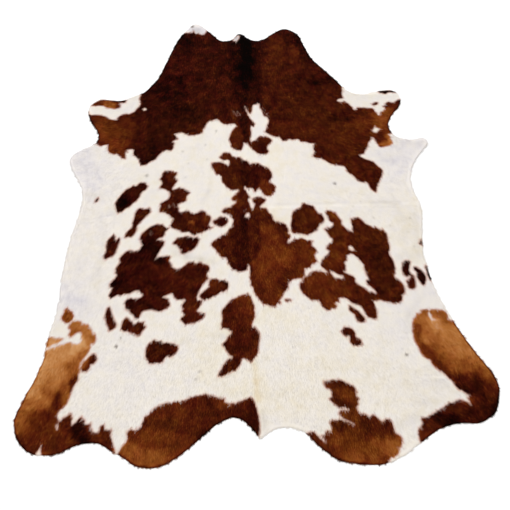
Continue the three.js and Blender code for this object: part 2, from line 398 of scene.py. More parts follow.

# %% [markdown]
# ## The chart of the patches
# A hide's pattern can't be made by a formula: every patch has its own edge. So the coat is
# charted, as a knitter would: each brown patch is a line of corners in centimetres,
# x to the right of the spine and y toward the neck, with the middle of the hide at 0,0. Corners
# beyond the cut edge just close the line. The tone says how brown its hair is. Gaps are white.

# %% Chart of the brown patches
PATCHES = {
    "cape": dict(tone=0.33, edge="""
    -81,59.5 -79.9,59.5 -79.7,58 -78.5,57.3 -76,57.4 -73.5,57.2 -71,56.2 -69.5,55 -67.5,54 -65.5,53.8
    -65,55 -64,56.3 -62.5,57.2 -61,57.7 -59.5,57.2 -58.3,58 -56.5,58.8 -55.7,60.5 -54.3,62 -53.7,63.5
    -53.9,65.5 -54.6,67 -54,69 -53.7,70 -56,72 -45,90 -38,108 -34,112 -30.5,112 -29,111.8 -27.5,111.6
    -26.7,113 -25.8,111 -24,110.8 -22.3,110 -20.5,110.2 -19.7,112 -19,114 -18,116 -10,112 0,113 10,108
    22,118 30,114 40,95 52,74 50.5,70 50.5,67.5 50.1,65.4 50.6,63.3 49.2,62.4 47.6,62.2 47.1,61.5
    47.8,60.7 49.2,60.3 50.3,60.7 51.2,61 51.5,60.1 52.6,59.6 53.3,58.4 54.5,57 54.9,55.2 55.6,54.8
    56.3,55.5 57,56.4 59.1,56.2 61.9,55.9 64.7,55.7 65.5,54.5 65.8,53.1 66.7,52.7 66.7,51.3 67.6,50.8
    68.1,51.7 68.6,52.7 69.9,53.6 71.1,54.8 71.3,55.7 70.4,56.4 71.1,57.3 72,58.4 72.9,59.2 74.1,59.4
    74.6,58.7 76,58.5 77.4,59.6 78.8,60.5 79.7,60.7 82,61 82,55 75,45 75,41 72.2,39.7 70.4,39.3 70.9,38.6
    71.3,37.6 71.1,36.5 71.6,35.4 72,34.4 71.8,33.3 70.4,32.4 69,32.1 67.6,31.6 66.2,31.2 65.1,31.7
    64.7,33 64,34.4 63.3,35.8 63.2,37.2 62.6,37.7 61.9,36.7 60.9,35.4 60,34.4 59.6,33.3 59.5,31.9
    58.9,30.9 57.7,29.5 57.2,28 56.3,27.7 54.9,27.2 55.2,26.3 55.9,25.6 57.7,24.5 59.5,23.8 60.9,23.1
    61.9,21.7 63,20.3 64.4,18.9 65,17.5 64.7,16.4 64.2,14.7 63,12.9 62.6,11.2 61.6,10 60.9,8.4 60.5,6.6
    60.2,5.4 59.1,6.1 58,7.3 57.3,9.1 57.2,10.7 55.9,11.5 54.2,11.4 52.4,12.2 51.3,14 49.9,15.9 48.2,17.2
    47.2,18.5 47.4,19.5 46.8,20.8 45.4,21.3 43,21.7 40.8,22.4 39.4,23.3 37.3,25 35.6,26.1 33.4,26.6
    31.7,27.5 32.4,28.4 32.9,30.2 32.4,31.9 32.6,33.7 33.4,35.1 31,35.4 28.9,36.2 26.7,36.3 26,37.6
    25,38.1 22.9,37.6 21.3,38.4 20.4,38.3 19.7,37.2 17.6,37.4 17,38.6 16.2,39.9 15.1,39.9 13.3,40.4
    11.6,41.6 10.2,42.3 8.9,43 9.7,44.3 10,45.7 10.5,47.4 11.2,48.8 11.6,50.3 11,52 10.2,52.9 9.1,53.4
    8.6,55.2 8.2,57 7.2,58.7 7.3,60.5 7.2,61.5 5.6,60.7 4.2,60.7 3.6,59.8 3.3,58 2.9,55.9 2.4,55 1.7,55.5
    0.8,57 0.1,58.7 -0.4,60.1 -0.1,58.4 0.3,56.6 0.8,54.8 1.5,53.1 2.4,51.3 3.3,49.9 4.2,48.8 4.2,47.8
    3.5,46.7 2,47.4 1.9,46.4 2.2,44.6 2.3,42.8 1.9,40.7 1.3,39.3 1.7,37.9 2.2,36.9 2.9,37.9 4.2,38.1
    4.7,39 5.6,40.2 6.6,40.9 7.5,40.6 8.4,39.9 9.5,40.4 10.2,40 11.2,39.3 12.3,38.3 12.3,37.5 11.5,36.3
    10.2,35.2 9.6,34.2 9.9,33 10.4,31.7 10,30.6 9,29.9 6.5,30 4.9,30.6 3.7,31.7 2.7,32.8 1.9,33.9 1.2,35
    0.5,35.8 -0.5,36.4 -1.4,37.2 -1.7,37.3 -2,36 -2.4,34 -3,32.8 -4,32.4 -5.5,32.8 -6.8,33.8 -8.1,35
    -7.9,36.5 -8.5,38 -9,39.5 -8.4,41.5 -7.7,43.5 -7,45 -6,46.3 -4.8,47.2 -5,48 -6,49 -8,49 -9.5,48.6
    -11.5,49 -12.7,50.2 -13.9,51.8 -15,52.4 -16.5,51.7 -18.7,51.2 -19.7,50 -20.5,48.5 -21,47 -22.2,46
    -21.8,45 -22.3,43.7 -24,43.2 -26,42.8 -28.8,42.6 -30,43.2 -31.3,44.3 -32.7,44.9 -34,44.3 -36.2,44
    -36,43.3 -35,42 -34.3,41 -34.7,40.5 -36,40 -37.2,39.2 -36.1,38 -36.5,35.5 -37.5,33.9 -39,34.3
    -40.5,34.2 -42,33.3 -43.5,31.5 -44.5,30 -45.5,28.7 -48,27.5 -50,25.7 -51,26 -52.3,25.6 -52.8,27
    -53.2,29 -54,30.2 -55,31 -56,32.5 -56,33.8 -55.8,35 -57,35.6 -58.5,35.4 -59.6,35.4 -58.8,33.8 -60,34.2
    -60.2,33 -60,31.5 -59.8,30 -61.5,30.2 -63,31.8 -64.5,33.2 -66,32.8 -66.5,33.5 -68,34 -68.9,35.8
    -68.8,37 -69,38.8 -71,38.7 -72.5,38 -73.5,38.5 -74.8,39.8 -77,42 -77,48 -82,57"""),
    "left foreleg spot": dict(tone=0.6, edge="""
    -79,63.3 -77.5,65 -75.5,66.5 -73,67.1 -69,66.5 -65,66.6 -62,67 -61.2,66 -61.6,64.8 -63.4,64.6
    -64.8,64.9 -64,63.5 -63.8,62 -65,61.5 -66.5,61 -68.5,61.3 -71,61.8 -72.5,63 -75,63.2 -76.8,63"""),
    "right foreleg strip": dict(tone=0.12, edge="""
    68.6,66.7 69.3,66.1 69.7,65.4 71.1,65.2 72.1,64.5 73.2,64.7 73.9,65.4 75.7,65.6 76.7,65.1 77.8,65.1
    78,65.9 77.3,66.5 76,66.8 74.6,67 72.5,66.9 70.4,66.9"""),
    "right foreleg spot": dict(tone=0.36, edge="""
    64.9,57.7 65.1,58.5 66.2,59.2 67.6,59.6 68.1,59.1 67.9,58.2 66.9,57.7 65.6,57.4"""),
    "saddle": dict(tone=0.36, edge="""
    -0.5,26 0.1,25.4 0.6,24.3 1.3,23.8 2,24.5 3.5,24.5 4.9,24.7 5.8,24 7,22.6 8.8,22.2 10,21.2 10.7,19.6
    11.2,18.2 11.2,16.1 10.2,14.9 9.5,13.7 10.5,13.1 11.7,12.2 12.5,10.8 12.3,9.1 11.7,7.3 10.5,6.2
    9.6,5.5 8.9,5.9 8,5.7 7,6.4 6.3,7.7 5.6,8.9 5,10.5 4.3,10.1 3.6,9.1 2.9,8.4 2.2,8.5 2,9.8 1.3,10.7
    0.3,10.8 -0.4,10 -1.1,10.5 -1.8,11.7 -2.7,10.7 -2,9.4 -1.1,7.5 -0.2,5.9 0.1,4.8 -0.8,4.8 -0.9,3.8
    -0.2,1.7 0.1,-0.1 0.6,-1 1.7,-0.8 2.1,0.3 2.4,1.7 1.3,2.7 1.3,4.1 2.2,5.2 3.5,5.5 5.2,5.4 6.6,4.3
    7.7,3.8 7,2.5 5.9,1.5 4.9,0.4 4.5,-0.3 5.9,-0.8 7.3,-1 8,-1.9 8.4,-3.4 9.6,-4.2 10.2,-5.4 10.3,-7.2
    11.4,-8 13.3,-8.6 15.1,-9.3 16.2,-10.3 16.9,-12.1 17.2,-13.3 16.7,-14.7 17.9,-15.6 17.9,-16.7
    16.9,-17.6 16.3,-18.8 16.3,-20.2 17.6,-19.5 18.6,-18.4 19.7,-17.7 21.1,-18.1 22.7,-17.2 23.9,-17.9
    25.3,-18.8 26.7,-18.8 28,-19.1 27.3,-20.2 27.1,-21.6 28.5,-22.7 29.2,-23.9 28.7,-25.3 27.8,-26.2
    28.3,-28 29,-29.4 28.1,-30.2 26.4,-30.8 25.9,-32.2 24.3,-32.5 23,-32.9 22.9,-34.2 22.7,-36 22.4,-36.6
    21.8,-37.6 19.7,-37.4 17.6,-37.8 15.8,-39 15.3,-40.2 15.1,-42.2 14,-43 12.6,-44.3 12.5,-45.2
    11.6,-46.6 10.7,-47.6 11.4,-48.3 11.2,-49.2 10.2,-48.7 9.6,-49.4 9.1,-50.3 7.7,-50.3 6.3,-49.7
    5.2,-49.2 3.8,-49 2.9,-48 1.9,-46.4 0.8,-44.8 -0.1,-43 -0.2,-40.9 -1.3,-40.2 -1.1,-38.5 -1.65,-36.3
    -1.3,-33.5 -1.3,-31 -1.8,-29.8 -2.5,-31.1 -2.8,-32.5 -4.6,-32.9 -6.7,-33.1 -7.6,-32 -8.8,-32 -9.5,-31
    -10.2,-29.7 -11.1,-29 -11.3,-26.9 -12,-25.5 -13.6,-25.7 -14.8,-24.6 -15.9,-22.7 -16.9,-21.3
    -18.3,-19.5 -18.5,-18.4 -17.3,-17 -15.5,-16 -14.4,-14.9 -12.7,-14.2 -11.3,-13.3 -10.6,-12.1 -9.9,-11
    -8.3,-10.3 -8.6,-8.9 -8.1,-7.5 -7.9,-6.3 -9.2,-5 -9.5,-3.6 -10.6,-3.1 -12.2,-2.9 -13.4,-1.9 -12.7,-0.8
    -11.8,0.1 -10.2,0.3 -8.8,-0.1 -8.8,1 -7.8,1.7 -6.7,2.2 -6.2,3.3 -7.2,3.6 -8.3,4.1 -8.6,5.2 -7.6,6.4
    -6.7,7.7 -5.3,8.7 -4.8,9.8 -5.6,10 -7.6,10 -8.8,9.8 -9.5,10.7 -10.7,11.5 -11.6,12.9 -12.7,14.4
    -13,16.1 -13,17.5 -14.1,18.9 -15.3,18.9 -16.2,20 -16.5,21 -17.2,23 -17.9,25 -17.5,25.8 -16,26 -14,26
    -12,25.3 -10.5,24.3 -9.7,23.6 -9,24.5 -9,26.5 -10,27.4 -11.5,27 -12.8,27.6 -14,28.8 -13,29.8
    -12.3,31.2 -11,31.6 -9,31.4 -8,30.2 -7.5,29.2 -6,28.5 -4,28.3 -3,27.5 -1.8,26.2"""),
    "left chain": dict(tone=0.33, edge="""
    -41.6,20.5 -40.5,22 -39,22.3 -37.5,22 -36.3,21.4 -34.7,20.8 -34.5,19.8 -35.6,18.6 -35.3,17.7
    -34.2,16.8 -34.2,15.9 -35.3,14.7 -36,13.3 -36.7,11.7 -36.3,11.2 -34.9,11.5 -33.1,12.1 -31.7,11.7
    -30.3,10.8 -28.9,10.1 -28.2,9.2 -29.3,8 -30,7 -29.8,5.9 -30,4.8 -31.4,4.1 -33.1,3.6 -34.2,2.9
    -33.8,1.8 -33.3,0.6 -33.8,-0.5 -33.5,-1.3 -32.1,-1.3 -30.3,-0.8 -28.9,-0.8 -27.8,-1.9 -26.8,-2.6
    -24.7,-2.2 -23.8,-1.3 -22.7,-1 -21.5,-1.3 -20.3,-2.9 -19,-4 -18.3,-5.4 -19,-7.2 -19.7,-8.4 -19,-9.6
    -17.6,-10.1 -19.4,-11 -21.1,-11.7 -22.6,-12.4 -24.3,-13 -25.7,-13.7 -27.1,-13.7 -27.8,-12.6
    -28.9,-11.9 -30.3,-12.1 -32.1,-11.9 -33.5,-10.7 -35.3,-10.1 -36.7,-9.4 -37.4,-8.4 -36.8,-7.2
    -36.3,-5.7 -35.4,-4.7 -36.3,-4.3 -37.4,-2.9 -39.1,-1.9 -40.2,-0.8 -42.7,-0.8 -42.5,0.6 -42,2 -42.3,3.4
    -41.4,4.5 -40.5,5 -39.1,5.5 -38.1,6.6 -37.7,8 -37.9,9.8 -39,10.7 -40,11.7 -41.6,12.2 -42.8,12.6
    -42,13.7 -41.4,14.7 -41.8,16.1 -42.8,17.2 -42.1,18.4 -41.4,20"""),
    "long spot": dict(tone=0.27, edge="""
    -51.3,15.8 -50.3,15.8 -49.2,14.9 -48.4,13.5 -48.9,12.2 -49.9,11.4 -51,10.5 -51.7,9.4 -52.2,7.7
    -53.1,6.2 -54.2,5 -55.2,4.5 -55.9,3.3 -57,2.4 -58.4,1.8 -59.4,0.8 -60.2,-0.3 -61,0.4 -61.7,-0.8
    -62.3,-0.3 -62.6,1.3 -63,3.1 -63.4,4.8 -62.8,6.1 -61.9,7.7 -61,9.1 -60,10.5 -59.1,11.7 -57.7,12.8
    -56.3,13.3 -55.4,14.4 -54.7,14.5 -54.2,13.7 -53.5,14.2 -52.8,15.1 -52,15.7"""),
    "two lobes": dict(tone=0.3, edge="""
    -51.7,1.7 -50.6,1.5 -49.6,1 -48.3,1.3 -47.1,1.8 -46.6,0.8 -46.6,-0.5 -47.5,-1.7 -48.7,-2.6 -49.6,-4
    -50.6,-5.2 -51.7,-6.4 -52.6,-7.5 -52.6,-8.7 -52.8,-10 -53.3,-11.4 -54.2,-12.8 -55.2,-13.5 -56.5,-13
    -57.7,-13.9 -57.9,-12.8 -57.5,-11.4 -56.8,-10.3 -55.7,-9.3 -54.9,-8.2 -54.7,-7.2 -54.9,-6.1 -54.3,-4.3
    -54,-2.6 -53.8,-1.2 -53.3,0.1 -52.6,1.1"""),
    "slim left spot": dict(tone=0.28, edge="""
    -63,-11.9 -62.4,-12.8 -62.4,-14.2 -61.9,-15.3 -61.4,-14.2 -60.5,-13.7 -60.1,-14.4 -60.3,-16
    -60.9,-17.7 -61.4,-19.1 -61.7,-20.9 -62.3,-22.1 -63.3,-23.2 -64.7,-23.5 -65.6,-24.1 -66.1,-24.8
    -66.8,-23.9 -66.9,-22.7 -66.3,-21.3 -66,-19.8 -66.3,-18.1 -65.9,-16 -65.4,-14.4 -64.6,-13.5
    -63.7,-12.4"""),
    "small oval": dict(tone=0.3, edge="""
    -17.6,-6.8 -17.1,-6.3 -15.9,-6.1 -14.8,-4.9 -13.9,-4.3 -13,-4.9 -11.6,-4.9 -10.7,-5.9 -10.6,-7.5
    -11.3,-8.7 -12.7,-9.6 -14.1,-10 -15.5,-9.4 -16.6,-8.7 -17.4,-7.9"""),
    "mid left spot": dict(tone=0.3, edge="""
    -36.1,-17.7 -35.6,-16.8 -34.7,-16 -34,-14.9 -32.4,-14.7 -30.7,-14.4 -29.6,-14 -28.2,-14.4 -26.8,-15.1
    -24.7,-15.1 -23.6,-15.8 -24.3,-17.4 -25,-19.1 -26.4,-20.6 -27.5,-21.6 -29.3,-22.5 -31,-23.2
    -32.3,-22.8 -32.4,-21.6 -31.7,-20.9 -33.1,-20.4 -33.8,-19.1 -34.2,-18.1 -35.3,-18.1"""),
    "left flank": dict(tone=0.28, edge="""
    -46.4,-8.4 -45.5,-8.2 -44.1,-7.5 -43,-7.2 -41.6,-7.7 -40.5,-7.5 -40.2,-8.7 -39.1,-9.4 -37.9,-9.6
    -38.8,-10.9 -39.8,-11.4 -39.7,-12.8 -40.4,-13.9 -41.6,-14.4 -43,-14.9 -43.4,-15.4 -42.1,-15.8
    -40.5,-15.8 -39.8,-17 -40.2,-18.4 -41.1,-19.5 -41.8,-20.9 -42.5,-22.3 -43.2,-24.1 -43.7,-25
    -42.3,-24.3 -40.2,-24.1 -38.1,-23.7 -37,-24.4 -37.7,-26.2 -37,-27.2 -36.1,-28.1 -36.3,-29.4
    -35.3,-30.2 -33.8,-30.5 -31.7,-29.9 -30.3,-28.8 -29.3,-27.6 -28,-27.1 -26.8,-27.4 -25.7,-28.3
    -24.3,-27.8 -22.9,-27.6 -22.4,-28.5 -20.8,-28.8 -19.7,-29.7 -19.3,-31 -20.1,-32.5 -20.8,-33.3
    -19.9,-35.6 -21.2,-37.1 -22.4,-38.5 -23.4,-40.2 -24.3,-42 -25,-43.4 -25.2,-45.2 -24.7,-46 -23.1,-46
    -23.1,-48 -24,-49.2 -25.4,-50.8 -24.3,-51.5 -22.9,-51.9 -21.7,-52.4 -21.7,-53.3 -22.9,-54.7
    -24.7,-55.7 -26.8,-56.6 -28.9,-56.8 -30,-56.8 -31,-55.9 -32.1,-54.7 -31.7,-53.6 -30.5,-52.9
    -30.3,-52.2 -31.4,-51.2 -31.2,-49.7 -31.7,-48 -30.7,-46.6 -29.8,-45.5 -30.7,-45 -32.1,-45.3
    -33.8,-45.2 -34.9,-44.1 -35.4,-42.9 -36.3,-42 -38.1,-42.9 -40,-43.6 -39.5,-44.3 -37.7,-44.6
    -37.5,-45.7 -36.8,-46.9 -37,-48.3 -38.1,-49.2 -39.8,-50.1 -41.6,-50.5 -43.4,-49.9 -44.8,-49.4
    -46.2,-49.7 -47.9,-49.6 -49,-50.5 -49.7,-52.2 -50.4,-53.3 -51.8,-53.1 -52.7,-51.2 -53.9,-50.5
    -54.2,-48.9 -55.7,-49 -56.3,-46.9 -56.3,-45.2 -55.2,-43.9 -53.8,-43.6 -52.8,-44.3 -51,-44.1
    -49.4,-43.6 -48.7,-42.5 -49.6,-41.3 -50.3,-40.2 -51.7,-40 -53.1,-40.6 -54.5,-41.6 -56.6,-41.5
    -58,-42.2 -59.8,-41.8 -61.2,-42.7 -63,-43.4 -63.5,-42 -62.8,-40.2 -62.1,-38.5 -63.2,-37.9 -63.5,-36.7
    -62.6,-35.3 -61.4,-33.9 -60.5,-32.5 -61.5,-31.5 -61,-30.4 -61.4,-29.4 -60.7,-28 -59.6,-26.5
    -59.4,-25.5 -60,-24.4 -59.3,-23.4 -58.4,-22.1 -57.3,-21.1 -56.1,-20.4 -55,-20.2 -54.2,-20.4
    -53.5,-21.1 -52.6,-20.6 -51,-20.2 -50.3,-19.1 -50.1,-17.4 -50.6,-16.3 -50.3,-15.1 -51.3,-14.9
    -50.8,-13.1 -50.3,-11.9 -48.9,-10.7 -47.5,-9.3"""),
    "left flank tail": dict(tone=0.28, edge="""
    -19.7,-36.7 -18.3,-36 -16.2,-36.2 -14.8,-37.1 -12.7,-36.9 -12.2,-37.8 -11.3,-37.6 -11.1,-39.2
    -11.5,-40.9 -13,-42.2 -14.8,-42.5 -16.2,-43.6 -18.3,-44.5 -20.1,-45.5 -21.9,-46 -22.9,-45.5
    -24.1,-44.1 -23.6,-43.2 -22.2,-42 -21,-40.9 -19.7,-40 -19.6,-38.5"""),
    "left stifle spot": dict(tone=0.34, edge="""
    -63,-47.3 -62.3,-48.7 -61.7,-50.5 -61,-52.6 -60.2,-54.2 -59.3,-55.4 -59.8,-56.8 -61.2,-57.9
    -62.6,-58.4 -63,-56.8 -63.9,-54.7 -64.6,-52.6 -64.6,-50.5 -64.2,-48.7 -63.7,-47.6"""),
    "ragged spot": dict(tone=0.33, edge="""
    -55.4,-52.4 -54.5,-53.4 -53.3,-54.3 -52.6,-55.7 -51.5,-55.9 -50.3,-55 -48.9,-55.2 -47.8,-54.9
    -47.8,-56.3 -46.8,-57.2 -48.2,-58.9 -49.2,-60.7 -50.5,-61.4 -51.2,-60.7 -51.7,-59.8 -53.1,-59.8
    -54.5,-58.9 -55.9,-58.9 -57.5,-57.9 -57.2,-56.1 -56.8,-54"""),
    "left thigh spot": dict(tone=0.28, edge="""
    -43.2,-63 -42.3,-63.9 -40.2,-63.9 -39.1,-64.7 -36.7,-64.9 -34.9,-65.3 -34.2,-66 -33.1,-66 -33,-67.6
    -33.8,-69.1 -35.3,-70.4 -36.5,-71.1 -37.7,-70.4 -38.6,-71.3 -39.3,-72.7 -40.2,-73.2 -42,-73.2
    -44.1,-73.7 -45.1,-73 -45.7,-71.6 -46.5,-70.6 -46.6,-68.8 -46.4,-66.7 -45.8,-65.3 -44.4,-64"""),
    "loin": dict(tone=0.35, edge="""
    -2.8,-43.6 -1.65,-44.8 -1.3,-46.2 -0.8,-48 -0.2,-49.7 -0.2,-54.7 -0.9,-56.4 -1.65,-58.2 -1.5,-59.6
    -0.4,-59.1 0.6,-60.3 1.7,-62.8 1.3,-65.3 0.8,-68.1 0.5,-70.6 -0.4,-72.1 -1.65,-73.4 -2.5,-74.8
    -3.9,-73.7 -5.3,-72.8 -6.5,-73 -7,-75.1 -8.1,-76.7 -9.5,-78 -11.3,-78.5 -13,-79.4 -14.8,-80.1
    -16.4,-80.1 -15.9,-78.3 -14.6,-76.5 -13.9,-75 -13,-74.3 -12,-72.8 -10.4,-72.5 -10.2,-71.6 -11.3,-71.1
    -12.5,-69.8 -13.4,-68.1 -14.5,-66.5 -12.7,-64.6 -11.8,-63 -10.4,-61.7 -10.2,-60.7 -11.8,-60
    -13.2,-59.1 -14.5,-59.3 -14.6,-57.5 -14.1,-55.4 -14.3,-52.9 -14.3,-51.2 -13.4,-49.9 -12.2,-48.7
    -10.9,-47.1 -9.5,-46 -7.8,-45.5 -6,-44.6 -4.2,-44.1"""),
    "round right spot": dict(tone=0.33, edge="""
    25.5,1 26.4,0.4 27.4,-0.3 29.2,-0.5 30.1,-1.5 30.4,-2.9 31.3,-4.2 31.7,-5 33.1,-5 33.6,-6.4 34.2,-7.9
    33.8,-9.1 32.4,-10 31.5,-11.4 30.4,-12.8 29.7,-14 28.1,-14.7 26.6,-15.4 25.5,-16 23.9,-15.4 22.2,-14.9
    20,-14.9 19.2,-14.9 18.4,-13.5 18.6,-11.7 18.3,-10 19,-7.9 19.2,-6.1 19.7,-4.2 20.9,-2.6 22.5,-1.9
    23.7,-1.5 23.9,-0.5 24.8,0.6"""),
    "right flank": dict(tone=0.33, edge="""
    35.4,-4.3 36.1,-3.6 37.3,-3.6 38.4,-4.3 39.8,-4.9 40.3,-6.1 41.2,-7.9 42.3,-9.3 41.7,-10.7 42.3,-11.7
    44,-13.5 45.4,-14.7 46.8,-15.6 46.5,-14.2 46.8,-12.4 46.5,-10.3 46.6,-8.6 47.8,-7.8 49.9,-7.7
    51.2,-8.6 52.1,-10 53.1,-11.4 54.9,-12.3 56.5,-13.5 57.5,-13.1 58.4,-14 59.8,-15.3 60.3,-14 61,-15.3
    61.9,-16.7 62.2,-18.4 62.1,-20.6 62.5,-22.7 62.3,-25.1 61.6,-26.2 61.9,-28 62.8,-29.7 63.2,-31.8
    63.5,-34.6 63,-37.1 62.3,-38.8 63.9,-39.7 65.3,-41.3 66.2,-43 66.3,-45.2 65.8,-46.7 64.6,-47.6
    64.7,-49 64.4,-49.9 62.6,-50.8 60.9,-51.3 58.8,-50.5 56.6,-49.9 54.9,-49.2 53.5,-49.7 52.1,-49.6
    51.9,-50.5 52.2,-52.6 52.6,-54.7 52.4,-56.8 51.3,-58.2 49.9,-57.3 48.5,-56.9 47.5,-55.4 47,-53.3
    46.1,-51.7 44.4,-50.8 42.6,-50.1 41.2,-49 40.1,-47.6 38.4,-47.5 36.6,-47.6 37,-49.4 35.9,-49.4
    34.8,-50.1 35.6,-51.3 34.8,-52.4 33.3,-52 32.7,-53.1 31.3,-53.1 29.9,-51.9 28.9,-50.5 28.5,-49
    27.4,-48 25.3,-48.2 23.9,-47.3 22.5,-45.9 21.3,-44.5 20.4,-42.7 20.2,-40.9 20.7,-39.5 21.8,-38.5
    22.6,-37.2 24.3,-36 25.3,-34.9 26.4,-34.2 28.1,-34.2 30.3,-34.6 32.7,-35.3 33.3,-34.9 31.7,-33.2
    30.4,-31.8 30.6,-30.1 31.5,-28.5 32.7,-27.2 34.5,-25.8 35,-24.6 33.6,-23.4 34.1,-22 35.5,-20.9
    36.8,-19.8 37.1,-18.4 36.1,-17.7 35.4,-16.3 35,-14.9 34,-14 33.6,-13.1 34.7,-12.6 36.6,-12.6
    37.8,-11.7 38.4,-10.3 36.8,-9.3 36.1,-7.9 35.9,-6.3 35.2,-5.2"""),
    "upper twin": dict(tone=0.33, edge="""
    40.8,-51.2 42.2,-51.7 43.3,-52.9 44.7,-54 45.8,-55.4 47,-57.2 47.2,-58.7 45.4,-59.3 43.8,-58.6
    43.1,-56.8 43,-55.4 41.5,-54.3 40.7,-52.9"""),
    "lower twin": dict(tone=0.33, edge="""
    37.8,-61 39.1,-61.2 40.8,-61.7 41.9,-63.1 42.2,-64.4 42.1,-65.8 43.3,-66.1 44.4,-67.2 44.5,-68.4
    44,-69.5 42.2,-69.5 40.8,-69.3 39.8,-68.1 39.3,-66.7 40,-65.4 39.4,-64.7 38.2,-65.3 37,-64.2
    36.1,-62.8 37,-61.9"""),
    "tiny spot": dict(tone=0.42, edge="""
    13.2,-47.3 14,-46.9 15.3,-47.1 16.2,-47.6 15.1,-48.2 13.9,-48.2"""),
    "right belly fleck 1": dict(tone=0.16, edge="""
    68.4,-31 69.8,-30.9 70.8,-31.6 70.3,-32.8 69.9,-34 69.5,-35.4 69.4,-36.3 70,-37 69.8,-38.1 68.5,-38.7
    67.4,-38.4 66.7,-37.4 66.5,-36 66.6,-34.2 66.8,-32.8 67.4,-31.7"""),
    "right belly fleck 2": dict(tone=0.38, edge="""
    70.4,-37.4 71.3,-38.6 71.4,-40.8 71.3,-43 70.9,-44.2 69.7,-44.8 68.3,-44.4 67.8,-43.3 67.9,-42
    67.6,-40.7 68.6,-40.1 69.6,-39.6 69.8,-38.4"""),
    "right belly fleck 3": dict(tone=0.2, edge="""
    71.9,-34.3 73,-34.2 74.1,-35 75,-36.1 75.9,-37.4 76.5,-38.8 76.4,-40.3 76,-41.8 75.2,-43.1 74.2,-42.9
    73.6,-41.7 73,-40.5 72.6,-39.1 72.6,-37.9 72.6,-36.6 71.8,-35.7 71.6,-34.9"""),
    "right belly fleck 4": dict(tone=0.12, edge="""
    77.3,-33.2 77.8,-34.3 78.4,-35.2 78.7,-36.8 78.8,-38.6 79.4,-40.4 78.7,-41.4 77.8,-40.2 77.3,-38.2
    77.3,-36.4 76.9,-34.6"""),
    "right belly fleck 5": dict(tone=0.25, edge="""
    76,-22.5 76.7,-21.6 76.9,-20.7 78,-20.5 77.6,-22.3 77.4,-23.5 76.4,-23.2"""),
    "right shank": dict(tone=0.62, edge="""
    72.2,-54.7 74.3,-54.5 75.3,-55.4 76.4,-54.7 78.5,-54.7 80.6,-55.2 82.2,-55.9 82.9,-57.9 82.4,-59.4
    84.1,-60 86,-60.5 92,-70 98,-82 101,-90 99,-98 94,-104 88,-106 75,-106 66,-110 63,-110.5 62.3,-108.4
    62.5,-105.9 63,-104.1 64.2,-103.6 64.7,-102.4 64.4,-100.8 65.8,-100.4 67.9,-99.9 69.7,-98.9 71.1,-98
    73.2,-97.1 75,-96 76.4,-95.1 78.1,-95 79.6,-94.3 81,-93.7 82.7,-94.3 84.3,-95 85.2,-96.4 85.4,-95.7
    84.7,-93.2 85.7,-92.2 84.8,-91.8 83.3,-90.6 81.3,-89.5 80.3,-87.9 79.6,-86.2 78.1,-84.7 76.7,-82.8
    75.3,-81.7 73.6,-80.4 72.5,-78.7 72,-76.9 70.6,-76.2 69.3,-75.1 68.4,-73 67.9,-70.9 66.9,-68.8
    66.6,-66.7 66.8,-63.9 66.9,-61.7 67.4,-60 67.9,-58.6 69.3,-57.5 69.7,-56.3 71.3,-56.1"""),
    "left shank": dict(tone=0.66, edge="""
    -76.9,-53.1 -75,-53.6 -73.9,-54.7 -72,-54.9 -70.9,-56.3 -70,-58.2 -69.3,-60 -68.6,-59.1 -68.1,-60.7
    -67.9,-62.3 -68.6,-63.9 -69.8,-63.3 -70,-65.3 -70.4,-67 -71.3,-68.6 -72.5,-70.2 -73.6,-72 -73.9,-73.7
    -73.6,-75.5 -74.1,-77.3 -73.9,-79 -75,-80.6 -75.7,-82.2 -76.4,-85 -76.9,-86.5 -77.6,-88.6 -78.8,-90
    -80.3,-91.1 -81.1,-92.5 -80.8,-94.6 -80.3,-95.7 -79.2,-95 -78.1,-93.9 -76.7,-93.2 -75.8,-92.5
    -75.1,-94.3 -75.3,-96 -74.8,-97.3 -73.7,-96.4 -72.5,-95 -71.3,-93.9 -70.7,-95.1 -70,-95.3 -69.7,-97.1
    -68.6,-97.4 -67.2,-96.7 -67.4,-98.5 -66.7,-99.2 -66.5,-100.4 -64.7,-100.6 -63.7,-99.9 -63.5,-98.1
    -62.1,-97.6 -61.9,-99.4 -60.5,-100.1 -59.1,-99.4 -59.3,-102 -58.6,-104.1 -57.9,-105.9 -57.2,-107.7
    -57.3,-109 -62,-110 -70,-107 -80,-111 -92,-110 -101,-100 -101,-92 -92,-70 -89.5,-66 -87.5,-65.6
    -86.2,-65.3 -84.8,-64.7 -83.1,-64 -81.3,-63.5 -79.9,-63 -78.5,-62.8 -77.1,-63.5 -75.7,-63.9
    -74.3,-63.5 -73.6,-62.1 -73.9,-60.3 -74.1,-58.6 -75.3,-58.2 -76.4,-58.7 -77.4,-59.6 -78.8,-60.3
    -79.5,-59.6 -79.2,-58.2 -78.8,-57 -80,-56.4 -79.5,-55 -78.1,-53.6"""),
    "ginger spot": dict(tone=0.6, edge="""
    -81.1,-46.9 -80.3,-48 -78.8,-49.4 -78,-51.2 -78.8,-52.9 -80.1,-54.3 -81.7,-53.6 -83.1,-52.2
    -83.3,-50.8 -82.4,-49.4 -82,-47.6"""),
    "tan strip": dict(tone=0.78, edge="""
    -87.7,-60.3 -86.2,-60.3 -84.8,-60.9 -83.1,-60.7 -81.7,-61 -82.7,-61.9 -84.1,-62.8 -85.9,-63.3
    -87.3,-64.4 -89,-64 -89,-61"""),
    "dark shank spot": dict(tone=0.36, edge="""
    -68.6,-68.1 -67.6,-68.4 -66.7,-69.8 -66.9,-71.1 -68.1,-72.5 -69.3,-72.7 -69.7,-74.4 -70.7,-75.8
    -72.1,-75.8 -73.4,-74.6 -73,-73.2 -72.5,-71.6 -71.1,-70.6 -69.9,-69.1"""),
    "left belly fleck": dict(tone=0.15, edge="""
    -72.8,6.1 -72.9,6.8 -72.3,7.8 -71.6,8.4 -71.3,7.7 -71.6,6.8 -72.1,6.1"""),
